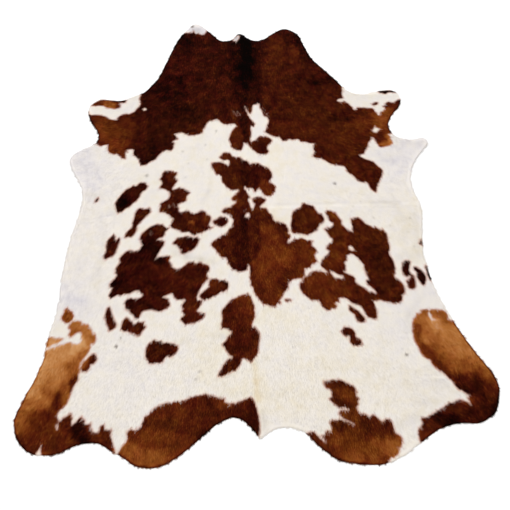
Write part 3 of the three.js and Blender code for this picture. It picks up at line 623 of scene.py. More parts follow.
    "left rump": dict(tone=0.42, edge="""
    -55.4,-108 -54.5,-106.3 -52.8,-104.5 -52.4,-103.4 -52.9,-102 -52.8,-100.8 -51.4,-99.8 -49.9,-100.6
    -48.7,-99.9 -47.2,-98.9 -46.5,-96.7 -46.2,-95.3 -44.4,-94.3 -43.5,-93 -42,-91.8 -39.8,-90.7 -37.7,-90
    -35.3,-90 -32.4,-89.7 -30,-89.3 -27.8,-88.3 -25.4,-87.6 -23.3,-87.6 -21.5,-87 -20.1,-87.6 -18.3,-88.1
    -16.6,-89 -15.2,-89.5 -13.9,-89.3 -14.1,-90.7 -12.3,-91.4 -10.2,-91.4 -8.1,-90.9 -6,-90.2 -4.6,-89.7
    -3.7,-89.2 -2.8,-89.5 -1.9,-91.1 -1.4,-92.9 -1.05,-95 -0.5,-97.1 -0.3,-99.9 -0.2,-102 -0.5,-103.8
    -0.9,-104.5 -2,-107 -10,-101 -20,-106 -32,-115 -43,-119 -52,-115 -57,-110"""),
    "right rump": dict(tone=0.45, edge="""
    17.9,-104.8 19.3,-104 21.1,-104.1 22,-104.9 22.9,-106.3 24.3,-107.7 25.7,-108.7 25,-107 23.9,-105.6
    25.3,-105.4 26,-103.8 28.1,-103.8 28.5,-102.4 27.6,-100.6 28.9,-99.7 30.6,-99.9 32,-99.7 34.1,-100.3
    35.9,-101 37.8,-102.2 37.3,-101.3 35.6,-100.3 33.8,-99.4 32.4,-98.5 31.7,-97.4 32.2,-96.2 33.8,-95.9
    35.6,-96.4 36.1,-96 34.5,-95 33.4,-95 32.4,-95.1 31.3,-94.3 29.9,-92.9 28.3,-91.3 29.6,-90.4
    29.7,-88.3 29.2,-87.2 27.4,-86.7 26.9,-85.1 26.7,-84 28.9,-83.7 31,-83.5 33.1,-83.7 34.8,-84.2
    36.3,-85.1 38.4,-86.2 39.4,-87.4 40,-89 39.3,-89.3 39.4,-90.7 40.7,-91.6 39.8,-92.5 40.1,-93.9
    38.9,-95 39.4,-96 39.8,-97.8 41.9,-97.8 43,-98.5 44,-99.2 45.1,-98.3 46.2,-98.8 47.6,-100.3
    48.9,-101.3 49.9,-100.4 51.7,-100.3 52.6,-101.7 52.8,-104.5 53.5,-105.7 55,-107 55.8,-108.7
    55.2,-110.3 54.2,-111.5 53.3,-113.7 51.7,-114.9 50.3,-114.9 49.2,-116.5 47.1,-119 40,-120 30,-118
    20,-109 17,-105"""),
}
GAPS = {
    "right foreleg gap": """
    64.7,45 65.1,43.9 66.2,43.2 67,42.8 66.2,41.8 65.5,40.7 64,40.4 62.8,41.1 62.6,41.8 63.7,42.8
    64.2,43.9""",
    "right flank gap 1": """
    44.7,-22 45.8,-23 46.3,-24.6 45.1,-25 43.8,-24.1 43.7,-22.8""",
    "right flank gap 2": """
    42.6,-27.1 44.4,-26.2 45.8,-26.7 47,-28 48.2,-29.7 49.9,-32.1 49.6,-34.2 50.3,-37.1 51.2,-38.8
    49.9,-39.9 50.1,-41.6 51.7,-43 53.1,-44.5 53.8,-46.2 52.4,-46 51.7,-45.2 50.1,-45 49.1,-43.6
    47.1,-42.3 45.8,-41.3 44.9,-40.2 44.9,-38.5 44,-37.1 41.9,-36.2 40.4,-35.5 41.2,-34.2 41.5,-32.1
    40.9,-30.6 41.5,-29.9 42.4,-29.4""",
    "right flank gap 3": """
    34,-34.9 35.4,-34.8 37.3,-35.9 38.9,-36.6 40,-37 40.1,-38.2 38.4,-38.5 36.6,-38.2 35.7,-37.6
    34.9,-36.3""",
    "left shank notch": """
    -86.1,-104 -86.6,-105.5 -88,-107.3 -88,-109 -85.9,-109 -86.1,-106.6""",
    "left shank nick": """
    -81.4,-96.6 -80.4,-97 -80.2,-98.7 -81.3,-98.8""",
    "nape tuft": """
    -5.4,105.2 -4.8,107.2 -2.6,109 -1.2,108.6 -1.6,106.8 -2.6,105.2 -3.8,104.6""",
    "left shoulder spot": """
    -52.7,60.6 -51.4,61.1 -50.5,60.3 -50.9,59.3 -52.3,59.1""",
    "saddle tuft": """
    -2.7,-4.6 -2,-3.5 -0.8,-2.9 -0.1,-4.4 -0.6,-5.5 -2,-5.6""",
    "right shank slit": """
    74.9,-55.4 76,-56.8 76,-58.4 77.6,-59.4 75.6,-60 74.7,-58 74.5,-56.5""",
}

# %% [markdown]
# ## Reading the chart
# Each patch becomes an array once. For any point on the hide, the patch that holds it deepest
# gives its base brown, and the distance to that patch's edge says where brown turns to white.

# %% Distance to the patches, and their browns
PATCH_REACH = 4.0               # cm; further from an edge than this makes no difference
BASE_BROWN = 0.35               # where no patch is near


def corners(text):
    """The corners of a closed line, as an array."""
    return np.array([pair.split(",") for pair in text.split()], float)


def patch_fields(chart):
    """Signed distance to the brown patches in cm, and the brown of the nearest one."""
    depth = np.full(len(chart), -PATCH_REACH)
    tone = np.full(len(chart), BASE_BROWN)
    for patch in PATCHES.values():
        inside = signed_distance(chart, corners(patch["edge"]), PATCH_REACH)
        tone[inside > depth] = patch["tone"]
        depth = np.maximum(depth, inside)
    for gap in GAPS.values():
        depth = np.minimum(depth, -signed_distance(chart, corners(gap), PATCH_REACH))
    return depth, tone


print(len(PATCHES), "patches,", len(GAPS), "gaps in them")

# %% [markdown]
# ## Shades within the patches and within the white
# No patch has one brown. Hair along the spine is almost black, the neck is chocolate, the legs
# fade to ginger and tan. Each row is one mark with a soft brush: a line, how far the brush
# spreads, and the brown it leaves on a scale from 0, black, to 1, tan. A small brush outweighs
# a large one, and where no brush reaches, the patch's own brown stays. Marks near the spine keep
# straight sides, since the dark stripe there is straight, and noise bends the others. A few marks
# along the neck folds are painted highlights and painted shade. The white drifts less, so its
# rows only add or take away, from 0, cool grey-white, to 1, straw. A last short list turns the
# browns of whole regions a little toward red or olive.

# %% Noise from a table
NOISE_SIDE = 257
NOISE_TABLE = rng.uniform(-1, 1, (NOISE_SIDE, NOISE_SIDE))
WARPS = [(4.5, 1.3), (1.7, 0.6)]        # wavelength and shift, in cm
WARP_SIDEWAYS = (31.7, 17.3)    # where on the table the second direction is read
STRAIGHT_CM = 7                 # marks this close to the spine keep straighter sides
STRAIGHTEST = 0.2               # the share of the warp that is left on the spine itself


def smooth_step(share):
    """0 up to 0, 1 from 1 on, and a soft rise between."""
    share = np.clip(share, 0, 1)
    return share * share * (3 - 2 * share)


def table_noise(u, v):
    """Smooth noise from -1 to 1 that changes once in a unit of u and of v."""
    i, j = np.floor(u).astype(int), np.floor(v).astype(int)
    u, v = smooth_step(u - i), smooth_step(v - j)
    near, far = (
        [NOISE_TABLE[(i + a) % NOISE_SIDE, (j + b) % NOISE_SIDE] for b in (0, 1)] for a in (0, 1)
    )
    return (1 - u) * ((1 - v) * near[0] + v * near[1]) + u * ((1 - v) * far[0] + v * far[1])


def warped(chart):
    """Places pushed about a little, so that soft brush marks lose their round outlines."""
    shift = np.zeros_like(chart)
    for size, push in WARPS:
        u, v = (chart / size).T
        sideways = table_noise(u + WARP_SIDEWAYS[0], v + WARP_SIDEWAYS[1])
        shift += push * np.stack([table_noise(u, v), sideways], 1)
    return chart + shift * np.clip(np.abs(chart[:, :1]) / STRAIGHT_CM, STRAIGHTEST, 1)


# %% Marks of brown
BROWN_MARKS = [
    # from x, y    to x, y    reach  brown
    # neck
    ((2.6, 111), (1.8, 82), 3.1, -0.34),
    ((0.7, 82), (0.3, 70), 1.4, -0.02),
    ((0.1, 70), (-1.6, 58), 1.2, 0.17),
    ((-3.7, 76), (-3.4, 66), 1.6, 0.19),
    ((5, 76), (5, 62), 2, 0.18),
    ((-3.4, 104), (-3.6, 80), 2.2, 0.13),
    ((7, 104), (6, 80), 1.8, 0.17),
    ((-9, 100), (-12, 86), 4, 0.25),
    ((-14, 104), (-16, 92), 3, 0.27),
    ((-21, 104), (-23, 84), 3.5, 0.27),
    ((-17, 88), (-14, 84), 2.5, 0.21),
    ((-29, 107), (-30, 100), 3, 0.20),
    ((-37, 104), (-28, 104), 1.8, 0.08),
    ((-37, 107), (-36, 102), 2.5, 0.27),
    ((-34, 95), (-41, 88), 4, 0.26),
    # painted highlights, this row and the next: lighter lines on the fold ridges of the left neck
    ((-39, 83.5), (-27, 86.5), 0.9, 0.31),
    ((-26.5, 86), (-26.5, 93), 0.9, 0.35),
    ((-47, 75.5), (-35, 81), 1.3, 0.13),
    ((-42, 76), (-24, 77), 2.6, 0.20),
    ((-50, 72), (-47, 68), 3, 0.24),
    ((-42, 72), (-36, 70), 4, 0.14),
    ((-28, 76), (-22, 70), 4, 0.28),
    ((-16, 78), (-10, 68), 5, 0.31),
    ((10, 104), (8, 96), 3, 0.27),
    ((8, 88), (10, 74), 3, 0.30),
    ((18, 104), (17, 92), 3.5, 0.40),
    ((22, 108), (24, 104), 2.5, 0.26),
    ((14, 86), (14, 80), 3, 0.38),
    ((27, 97), (27, 85), 1.3, 0.42),
    ((31, 104), (36, 92), 2.5, 0.15),
    ((24, 82), (22, 76), 3, 0.34),
    # painted shade, this row: a darker line under the right neck fold
    ((29, 78.5), (40, 76.5), 1.4, 0.27),
    ((34, 74), (44, 74), 1.6, 0.13),
    # painted highlight, this row: a lighter line on the right neck fold's ridge
    ((35, 81), (44, 79.5), 0.8, 0.31),
    ((46, 82), (50, 74), 2, 0.21),
    ((44, 71), (50, 67), 2.5, 0.34),
    ((34, 70), (28, 68), 3.5, 0.32),
    ((16, 70), (8, 66), 3, 0.36),
    # shoulders
    ((-32, 60), (-27, 58), 4, 0.17),
    ((-20, 62), (-14, 58), 4, 0.31),
    ((-9, 54), (-4, 54), 2.5, 0.34),
    ((-7, 44), (-6, 38), 2.5, 0.40),
    ((-1.2, 54), (0, 42), 1.1, 0.20),
    ((1.3, 46.5), (1.4, 43), 0.6, 0.36),
    ((-50, 60), (-44, 58), 4, 0.23),
    ((-48, 50), (-38, 48), 4, 0.26),
    ((-50, 38), (-42, 36), 4, 0.22),
    ((-52, 30), (-50, 26), 3, 0.19),
    ((-54, 55), (-53, 42), 2.5, 0.32),
    ((13, 60), (14, 52), 3, 0.33),
    ((22, 60), (34, 60), 5, 0.33),
    ((44, 60), (50, 57), 3, 0.39),
    ((20, 46), (34, 46), 5, 0.38),
    ((44, 50), (52, 50), 1.5, 0.25),
    ((56, 55.5), (64, 55), 1.2, 0.38),
    ((46, 42), (50, 36), 5, 0.42),
    ((58, 46), (60, 42), 4, 0.46),
    ((40, 30), (46, 24), 4, 0.37),
    ((52, 20), (56, 16), 3, 0.37),
    ((54, 30), (57, 26), 2.5, 0.34),
    # forelegs
    ((-60, 50), (-58, 44), 4, 0.44),
    ((-66, 47), (-65, 43), 3, 0.48),
    ((-63, 41), (-62, 38), 2, 0.52),
    ((-76, 54), (-70, 54), 1.6, 0.46),
    ((-74, 50), (-72, 44), 2.5, 0.54),
    ((-79, 54), (-76, 42), 1.2, 0.30),
    ((-69, 44), (-66, 38), 2, 0.59),
    ((-66, 35), (-62, 34), 2, 0.48),
    ((-63, 31.5), (-60.5, 30), 1.5, 0.44),
    ((-74, 39), (-71, 39), 1.5, 0.38),
    ((-59, 36), (-58, 34.5), 1.2, 0.34),
    ((-71, 63.6), (-68, 63.2), 1.6, 0.63),
    ((-77, 63.2), (-75, 64), 1.2, 0.44),
    ((-74, 66), (-66, 66), 0.9, 0.44),
    ((-66, 66.3), (-62, 66.5), 0.8, 0.20),
    ((-66, 61.2), (-65, 62.6), 1, 0.42),
    ((66, 49), (67, 46), 2.5, 0.60),
    ((70, 50), (72, 53), 2, 0.63),
    ((72, 57), (78, 58.5), 1.4, 0.39),
    ((71, 48), (72, 43), 1.5, 0.54),
    ((68, 38), (65, 36), 2, 0.42),
    ((70, 38), (70.5, 34), 1.4, 0.77),
    ((66.5, 33.5), (68, 32.5), 1.2, 0.68),
    # saddle and the spots beside it
    ((-18, 24), (-18, 20), 2, 0.42),
    ((-14, 30.5), (-8, 29.5), 1.2, 0.38),
    ((-8, 26), (-8, 14), 3, 0.36),
    ((-2, 26), (-2, 14), 1.8, 0.24),
    ((2, 26), (3, 14), 1.5, 0.28),
    ((6, 22), (7, 18), 2.5, 0.33),
    ((8, 12), (9, 9), 2, 0.48),
    ((-6, 6), (-5, 2), 1.5, 0.48),
    ((-3.6, 10), (-3.4, -2), 1.2, 0.36),
    ((-3.2, -6), (-2.6, -32), 1.1, 0.23),
    ((-6, -14), (-6, -30), 1.8, 0.30),
    ((0, -8), (0, -24), 1.5, 0.37),
    ((2, -6), (2.2, -22), 0.9, 0.33),
    ((-12, -18), (-10, -22), 3, 0.36),
    ((-17, -18), (-16, -20), 2, 0.41),
    ((-11, -28), (-8, -32), 2, 0.28),
    ((5, 2), (6, -4), 2, 0.37),
    ((11, -8), (13, -12), 2, 0.32),
    ((8, -13), (9, -21), 3, 0.51),
    ((8, -26), (10, -30), 4, 0.55),
    ((6, -38), (8, -44), 3.5, 0.47),
    ((2, -30), (4, -36), 2, 0.53),
    ((1, -38), (3, -44), 1.5, 0.42),
    ((20, -18), (20, -20), 2.5, 0.44),
    ((22, -28), (24, -30), 3, 0.49),
    ((15, -28), (16, -24), 2.5, 0.53),
    ((25, -22), (27, -26), 1.5, 0.49),
    ((24, -9), (25, -7), 2.5, 0.39),
    ((19, -10), (19, -6), 1.5, 0.34),
    ((28, -5), (29, -8), 1.5, 0.42),
    # loin
    ((-5, -45), (-3, -56), 1.8, 0.48),
    ((-12, -47), (-13, -54), 2, 0.37),
    ((-8, -50), (-7, -55), 1.8, 0.40),
    ((-10, -63), (-7, -67), 2.2, 0.36),
    ((-3, -61), (-2, -66), 1.6, 0.38),
    ((-5, -71), (-3, -71), 1.6, 0.40),
    ((-14, -66), (-13, -65), 1.4, 0.31),
    ((-12, -76), (-14, -79), 2, 0.32),
    # left side
    ((-38, 21), (-38, 18), 2, 0.34),
    ((-31, 11), (-30, 8), 2, 0.36),
    ((-34, 0), (-33, -6), 2.5, 0.30),
    ((-27, -6), (-26, -9), 2, 0.35),
    ((-28, -6.6), (-27.6, -7), 0.6, 0.74),
    ((-20, -4), (-20, -8), 2, 0.41),
    ((-62, 2), (-61, 5), 2.5, 0.05),
    ((-56, 9), (-50, 12), 2, 0.25),
    ((-29, -15), (-28, -18), 2, 0.27),
    ((-47, -19), (-44, -22), 2, 0.10),
    ((-43, -25), (-41, -26), 1.5, 0.14),
    ((-48, -12), (-43, -9), 2.5, 0.28),
    ((-58, -28), (-54, -32), 3, 0.26),
    ((-50, -28), (-46, -36), 4, 0.27),
    ((-40, -32), (-36, -38), 3.5, 0.37),
    ((-44, -37), (-42, -40), 2, 0.28),
    ((-28, -32), (-26, -36), 2.5, 0.35),
    ((-22, -29), (-20, -30), 2, 0.30),
    ((-61, -36), (-62, -40), 2, 0.18),
    ((-59, -44), (-56, -46), 2, 0.19),
    ((-50, -46), (-44, -46), 2.5, 0.28),
    ((-37, -46), (-35, -47), 2, 0.36),
    ((-28, -46), (-27, -54), 2.5, 0.38),
    ((-19, -38), (-17, -39), 2, 0.42),
    # right side
    ((38, -3), (41, -9), 2, 0.48),
    ((36, -16), (37, -18), 2, 0.39),
    ((42, -14), (46, -20), 2, 0.41),
    ((38, -23), (37, -30), 3, 0.48),
    ((32, -32), (34, -34), 1.6, 0.36),
    ((50, -7), (52, -12), 2, 0.39),
    ((52, -16), (51, -22), 2.5, 0.38),
    ((57, -16), (59, -20), 2, 0.40),
    ((57, -27), (60, -34), 2.5, 0.32),
    ((53, -30), (54, -34), 1.8, 0.35),
    ((55, -38), (60, -41), 3, 0.35),
    ((64, -42), (65, -44), 1.8, 0.39),
    ((56, -46), (58, -49), 2, 0.33),
    ((24, -38), (26, -42), 3, 0.49),
    ((31, -38), (33, -46), 3, 0.50),
    ((33, -50), (34, -52), 1.8, 0.52),
    ((38, -42), (40, -45), 2, 0.45),
    ((43, -37), (44, -40), 1.5, 0.38),
    ((47, -45), (49, -47), 2, 0.39),
    ((53, -47), (55, -48), 1.5, 0.41),
    ((52, -54), (52, -57), 1.8, 0.40),
    # left haunch
    ((-50, -108), (-42, -112), 3, 0.66),
    ((-46, -105), (-42, -104), 2.5, 0.53),
    ((-51, -103), (-52, -101), 1.2, 0.47),
    ((-42, -95), (-34, -93), 2.5, 0.46),
    ((-31, -93), (-29, -94), 1.5, 0.50),
    ((-34, -104), (-32, -108), 2.5, 0.51),
    ((-32, -99), (-26, -97), 2, 0.41),
    ((-24, -103), (-19, -99), 1.2, 0.34),
    ((-24, -93), (-18, -91), 2.5, 0.39),
    ((-17, -90.8), (-13, -92), 1.2, 0.54),
    ((-20, -97), (-16, -96), 1.8, 0.38),
    ((-12, -93), (-12, -92), 1.5, 0.42),
    ((-11, -97), (-8, -96), 1.4, 0.36),
    ((-6, -92), (-5, -95), 1.5, 0.37),
    ((-2.4, -94), (-1.6, -101), 1.5, 0.29),
    ((-36, -113), (-30, -110), 1.4, 0.56),
    # right haunch
    ((31, -84.6), (38, -86.4), 1, 0.36),
    ((35, -88), (36, -90), 1.8, 0.52),
    ((32, -92), (34, -94), 1.5, 0.36),
    ((36, -94), (38, -93), 1.2, 0.42),
    ((36, -98), (39, -97), 1.5, 0.52),
    ((31, -101), (34, -103), 2, 0.41),
    ((42, -100), (42, -104), 2, 0.39),
    ((46, -102), (47, -105), 1.8, 0.44),
    ((51, -101), (51, -104), 1.4, 0.38),
    ((52, -107), (50, -106), 1.2, 0.47),
    ((30, -107), (38, -107), 2.5, 0.52),
    ((37, -104), (41, -106), 1.8, 0.46),
    ((52, -109), (51, -113), 2.2, 0.66),
    ((46, -111), (44, -114), 2.5, 0.60),
    ((38, -110), (32, -111), 2.2, 0.55),
    ((36, -115), (34, -114), 1.8, 0.63),
    ((19, -105.6), (28, -112.6), 1, 0.46),
    # right shank
    ((72, -60), (71, -66), 3, 0.72),
    ((76, -57), (80, -58), 1.4, 0.64),
    ((81, -57.5), (82.5, -60), 1.4, 0.64),
    ((76, -60), (78, -63), 1.7, 0.88),
    ((80, -62), (82, -66), 2.5, 0.80),
    ((73, -64), (73, -67), 1.8, 0.77),
    ((68, -62), (69, -68), 1.1, 0.54),
    ((70.5, -71), (74, -75), 1.4, 0.50),
    ((74, -71), (75, -74), 1.8, 0.60),
    ((80, -70), (84, -74), 4, 0.77),
    ((87, -73), (94, -80), 2.2, 0.76),
    ((79, -77), (82, -81), 2.5, 0.60),
    ((75, -78), (80, -85), 1.2, 0.44),
    ((88, -82), (93, -83), 3, 0.62),
    ((97, -84), (99, -87), 2, 0.58),
    ((81, -84.5), (90, -86.5), 2, 0.29),
    ((81, -88), (85.5, -91.5), 1, 0.27),
    ((93, -89), (95, -92), 3, 0.38),
    ((90, -91), (92, -97), 3, 0.27),
    ((99, -94), (95, -101), 2, 0.05),
    ((88, -102), (84, -100), 3, 0.29),
    ((80, -96), (77, -97), 2, 0.35),
    ((79, -102), (70, -100), 2, 0.15),
    ((68, -98), (66, -101), 2, 0.33),
    ((67, -104), (70, -104), 1.5, 0.34),
    ((64, -107), (62, -110), 2, 0.50),
    # left shank
    ((-77, -56), (-73, -57), 1.8, 0.75),
    ((-79, -58), (-78, -60), 1.3, 0.70),
    ((-71, -58), (-70.5, -62), 1.8, 0.77),
    ((-69.6, -61), (-69.4, -64), 1, 0.66),
    ((-73, -64), (-75, -66), 2, 0.98),
    ((-72, -67), (-74, -72), 2, 0.68),
    ((-86, -66), (-88, -72), 3, 0.93),
    ((-81, -66), (-80, -69), 2, 0.88),
    ((-83, -74), (-82, -80), 3, 0.81),
    ((-91, -78), (-92, -84), 2.5, 0.88),
    ((-78, -74), (-77, -76), 2, 0.66),
    ((-75, -78.5), (-74, -81.5), 1.2, 0.34),
    ((-79, -82), (-78, -86), 1.6, 0.62),
    ((-84, -86), (-86, -84), 2, 0.66),
    ((-81, -86), (-82, -89), 1.4, 0.34),
    ((-88, -88), (-94, -88), 3, 0.70),
    ((-97, -94), (-94, -97), 3, 0.65),
    ((-90, -95), (-86, -94), 2.5, 0.46),
    ((-84, -93), (-81, -95), 2, 0.44),
    ((-92, -102), (-88, -104), 3, 0.40),
    ((-86, -98), (-84, -101), 2.5, 0.46),
    ((-98, -103), (-94, -106), 1.5, 0.22),
    ((-78, -95), (-77, -99), 1.6, 0.40),
    ((-82, -104), (-78, -104), 2.5, 0.43),
    ((-72, -99), (-70, -103), 2, 0.19),
    ((-73, -105), (-78, -107), 1.4, 0.42),
    ((-66, -101), (-65, -103), 2, 0.42),
    ((-62, -98), (-61, -102), 1.5, 0.37),
    ((-59, -105), (-61, -105), 1.2, 0.35),
]

# %% Drifts of white and of hue
BASE_CREAM = 0.50
CREAM_DRIFTS = [
    # from x, y    to x, y    reach, change: cool to -1, straw to 1
    ((-84, 32), (-76, 20), 11, -0.34),            # left elbow and belly
    ((-80, 0), (-82, -44), 9, -0.10),
    ((-58, -66), (-50, -84), 12, -0.08),
    ((84, 32), (72, 22), 11, -0.30),              # right elbow and belly
    ((72, -12), (75, -28), 8, 0.10),
    ((76, -44), (62, -66), 10, -0.14),
    ((-1.4, -74), (-0.8, -90), 1.5, 0.32),        # tail end of the spine
    ((0.4, -84), (0.6, -104), 2.6, 0.06),
    ((2, -52), (15, -57), 5, 0.18),
    ((9, -4), (17, -10), 4, 0.18),
    ((14, 35), (14, 23), 4, 0.14),
    ((-83, -41), (-73, -47), 6, -0.30),
    ((-10, -84), (12, -92), 9, 0.14),
    ((-16, -60), (-20, -74), 8, 0.16),
    ((8, 56), (6, 44), 5, -0.10),                 # white on the withers
    ((30, -80), (50, -84), 16, 0.12),
    ((-66, 62), (-60, 61), 5, -0.14),
    ((-30, 115), (-20, 112), 4, -0.45),           # nape
    ((-3, 107), (-4, 106), 2, -0.45),
]
HUE_DRIFTS = [
    # from x, y    to x, y    reach, change: red to -1, olive to 1
    ((-36, 92), (-34, 76), 8, -0.6),              # neck
    ((18, 98), (16, 84), 7, 0.6),
    ((28, 60), (47, 46), 10, 0.7),                # shoulders
    ((50, 34), (54, 28), 6, 0.5),
    ((-24, 54), (-43, 44), 8, 0.7),
    ((-70, 50), (-62, 46), 6, 0.6),
    ((-8, 22), (-7, 14), 4, 0.6),                 # saddle
    ((4, 22), (6, 14), 4, -0.7),
    ((8, -20), (9, -34), 5, -0.3),
    ((24, -7), (26, -8), 4, 1.0),                 # right side
    ((38, -16), (38, -24), 6, 0.5),
    ((56, -18), (60, -40), 6, 0.9),
    ((-58, 7), (-56, 9), 4, -0.6),                # left side
    ((-55, -30), (-28, -46), 9, -0.4),
    ((-7, -52), (-6, -60), 5, -0.4),
    ((-40, -104), (-36, -98), 6, 0.5),            # haunches
    ((-30, -92), (-26, -90), 4, -0.5),
    ((34, -90), (36, -104), 7, 0.9),
    ((42, -112), (32, -108), 5, 0.5),
]

# %% Shades at a place
PATCH_SHARE = 0.02              # how little a patch's own brown weighs against the marks
# painted shade along the cut edge: how far in it reaches, and how much darker it makes the brown
RIM_WIDTH, RIM_DARKENING = 7 * MM, 0.28


def marked_brown(base, chart):
    """Browns after all marks: their average, each weighing as much as its brush is near and fine."""
    chart = warped(chart)
    total, share = PATCH_SHARE * base, np.full(len(chart), PATCH_SHARE)
    for start, end, reach, brown in BROWN_MARKS:
        weight = nearness(chart, start, end, reach) / reach
        total += weight * brown
        share += weight
    return total / share


def drifted(chart, base, drifts):
    """A scale that starts from its base and is changed softly near each of the drifts."""
    return base + sum(
        change * nearness(chart, start, end, reach) for start, end, reach, change in drifts
    )


def painted_rim_shade(inside):
    """Painted shade on brown hair that turns down over the cut edge; inside is in metres."""
    return RIM_DARKENING * np.clip(1 - inside / RIM_WIDTH, 0, 1)


print(len(BROWN_MARKS), "marks,", len(CREAM_DRIFTS), "drifts of white,", len(HUE_DRIFTS), "of hue")

# %% [markdown]
# ## Flecks and mixed hair
# A white coat has a few small grey-brown flecks, a fine freckling over the right haunch, and
# faint darker smudges; those along the creases and beside the right shank's top are painted
# shade. A fleck is only a few hairs wide, so it is kept as a place and a radius. A smudge is a
# line with a soft reach. Where a patch meets the spine or a leg, brown and white hairs grow in
# the same locks: such a streak of mixed hair is a line with the share of its locks that take a
# colour halfway between the two.

# %% Flecks, freckles and streaks
FLECKS = [
    # x, y, radius in cm, strength
    (-49, 19.8, 0.8, 0.45), (-32, 33.2, 0.5, 0.3), (-15.3, 45, 0.6, 0.35),
    (-20.7, 36.5, 0.5, 0.3), (-20, 28, 0.5, 0.25), (-29, 26, 0.5, 0.25), (-30.5, 18, 0.5, 0.2),
    (-57.3, -61.7, 0.45, 0.6), (-59.1, -65.4, 0.6, 0.85), (-24, -77.6, 0.5, 0.4),
    (-25.6, -80.8, 0.6, 0.4), (41, 11.4, 0.7, 0.7), (62.6, -74.3, 0.6, 0.8),
    (52, 0.6, 0.5, 0.2), (48.3, -1.9, 0.5, 0.15), (57, -8.2, 0.5, 0.25),
    (74.1, -9.3, 0.6, 0.3), (64.2, -12.8, 0.6, 0.22), (73.7, -23.9, 0.5, 0.2),
    (-27.3, 116.3, 0.9, 0.85), (-3.6, 107.4, 1.6, 0.35), (-25, 112.5, 3.2, 0.12),
]
# Painted shade: the smudges along the folds of both flanks, the two by the soft band beside the left
# chain, and the two beside the right shank's top. The rest are faint darker smears.
SMUDGES_AND_CREASE_SHADE = [
    # from x, y    to x, y    reach, strength
    ((12, 0.9), (66, -0.3), 0.8, 0.05),           # along the right flank's fold
    ((57, -0.4), (70, -1.0), 1.1, 0.12),
    ((68, -2), (70, -9), 2.2, 0.06),
    ((71, -12), (69, -26), 3, 0.05),
    ((76, -8), (76, -28), 2.5, 0.07),
    ((66, -30), (76, -28), 2, 0.06),
    ((64, 27), (70, 23), 3, 0.04),                # right elbow
    ((72, 35), (88, 33), 3, 0.06),
    ((-80, -5), (-70, -3), 0.8, 0.06),            # left flank
    ((-78, 11), (-72, 8), 2.2, 0.09),
    ((-72, 10), (-51, 18), 1.5, 0.035),
    ((-69, -3), (-67, -17), 1.4, 0.05),
    ((-67, -17), (-69, -28), 1.6, 0.04),
    ((-69, -30), (-69, -40), 2.2, 0.06),
    ((-18, 18), (-19, 10), 1, 0.05),              # between the patches
    ((-19, 10), (-23, 3), 1, 0.05),
    ((-35, -22), (-30, -24), 1.6, 0.10),
    ((-30, -24.5), (-23, -26), 1.6, 0.12),
    ((-23, -26), (-18, -28), 1.6, 0.08),
    ((-31, -65), (-27, -64), 1.1, 0.06),          # loin and haunches
    ((-19, -62), (-13, -63), 1.2, 0.07),
    ((1, -95), (2, -104), 1.3, 0.10),
    ((-66, -97), (-58, -100), 2, 0.05),
    ((72, -49), (66, -57), 1.5, 0.06),
    ((66, -57), (64, -66), 1.5, 0.06),
    ((61, -87), (75, -87), 2.5, 0.05),
    ((62, -94), (71, -94), 2, 0.06),
    ((55, -103), (63, -100), 2, 0.07),
]
FRECKLE_FIELDS = [
    # from x, y    to x, y    reach, share of locks, strength
    ((10, -60), (45, -90), 20, 0.06, 0.20),
    ((5, -80), (20, -100), 12, 0.07, 0.22),
    ((-8, -86), (-20, -76), 8, 0.05, 0.22),
]
MIXED_HAIR = [
    # from x, y    to x, y    reach, share of mixed locks
    ((-38.2, 1.8), (-35.4, 2.9), 0.5, 0.9),       # left chain
    ((-46.4, -12.4), (-45.4, -11.6), 0.6, 0.8),
    ((-22.9, -45.4), (-22.8, -46), 0.6, 0.6),
    ((22.6, -35.4), (23.3, -37.2), 0.5, 0.9),     # saddle
    ((-2.3, -1.6), (-1.2, -4), 0.6, 0.6),
    ((-6.0, 56.3), (-2.8, 54.6), 0.7, 0.85),      # withers
    ((0, 59.5), (1.4, 56.5), 0.5, 0.8),
    ((8.6, 58), (10.6, 53.6), 0.8, 0.45),
    ((77, -60.5), (77.6, -63), 1.5, 0.3),         # right shank
]
MIXED_DEPTH = (-0.05, 0.09)     # as if right on a patch's edge, where brown and white blend
FLECK_REACH = 1.6               # radii from a fleck's middle to clean hair; it fades over the last


def fleck_and_crease_shade(chart):
    """0 on clean white hair, a little on a smudge or on a crease's painted shade, up to 1 in the middle
    of a dark fleck.
    """
    strength = drifted(chart, 0.0, SMUDGES_AND_CREASE_SHADE)
    for x, y, radius, dark in FLECKS:
        away = np.hypot(chart[:, 0] - x, chart[:, 1] - y)
        strength = np.maximum(strength, dark * np.clip(FLECK_REACH - away / radius, 0, 1))
    return strength


print(len(FLECKS), "flecks,", len(SMUDGES_AND_CREASE_SHADE), "smudges,", len(MIXED_HAIR), "streaks of mixed hair")

# %% [markdown]
# ## Which way the hair lies
# Hair runs from the nape to the tail along the back, turns out over the ribs and follows each
# leg down to its end. The chart holds an angle at a few places of the right half, in degrees
# from straight back and turning outward. The left half mirrors it. Places between are blended
# by distance, and a slow seeded swirl keeps the coat from looking machine-combed.

# %% Lie of the hair
LIE = [
    # x, y, degrees outward
    (0, 106, 0), (24, 110, 2), (10, 88, 6), (28, 88, 16), (40, 84, 26), (12, 64, 10),
    (34, 62, 28), (50, 68, 48), (64, 62, 66), (76, 62, 80), (68, 46, 62), (70, 34, 50),
    (48, 40, 38), (86, 32, 66), (60, 14, 40), (28, 34, 24), (0, 40, 0), (0, 10, 0),
    (16, 0, 18), (36, 4, 32), (62, -8, 38), (76, -14, 34), (0, -40, 0), (14, -36, 16),
    (34, -34, 30), (58, -40, 34), (70, -50, 28), (22, -66, 16), (46, -66, 24), (66, -70, 26),
    (0, -80, 0), (12, -88, 6), (32, -96, 6), (50, -100, 12), (80, -66, 26), (88, -80, 24),
    (94, -94, 14), (80, -98, 34), (68, -104, 40), (40, -112, 4),
]
LIE_BLEND, LIE_FALL = 9.0, 2.0  # cm, and how steeply a place's weight falls with distance
SWIRL_DEG = 9.0
SWIRLS = seeded_waves(9, 30, 8)         # their lengths in cm


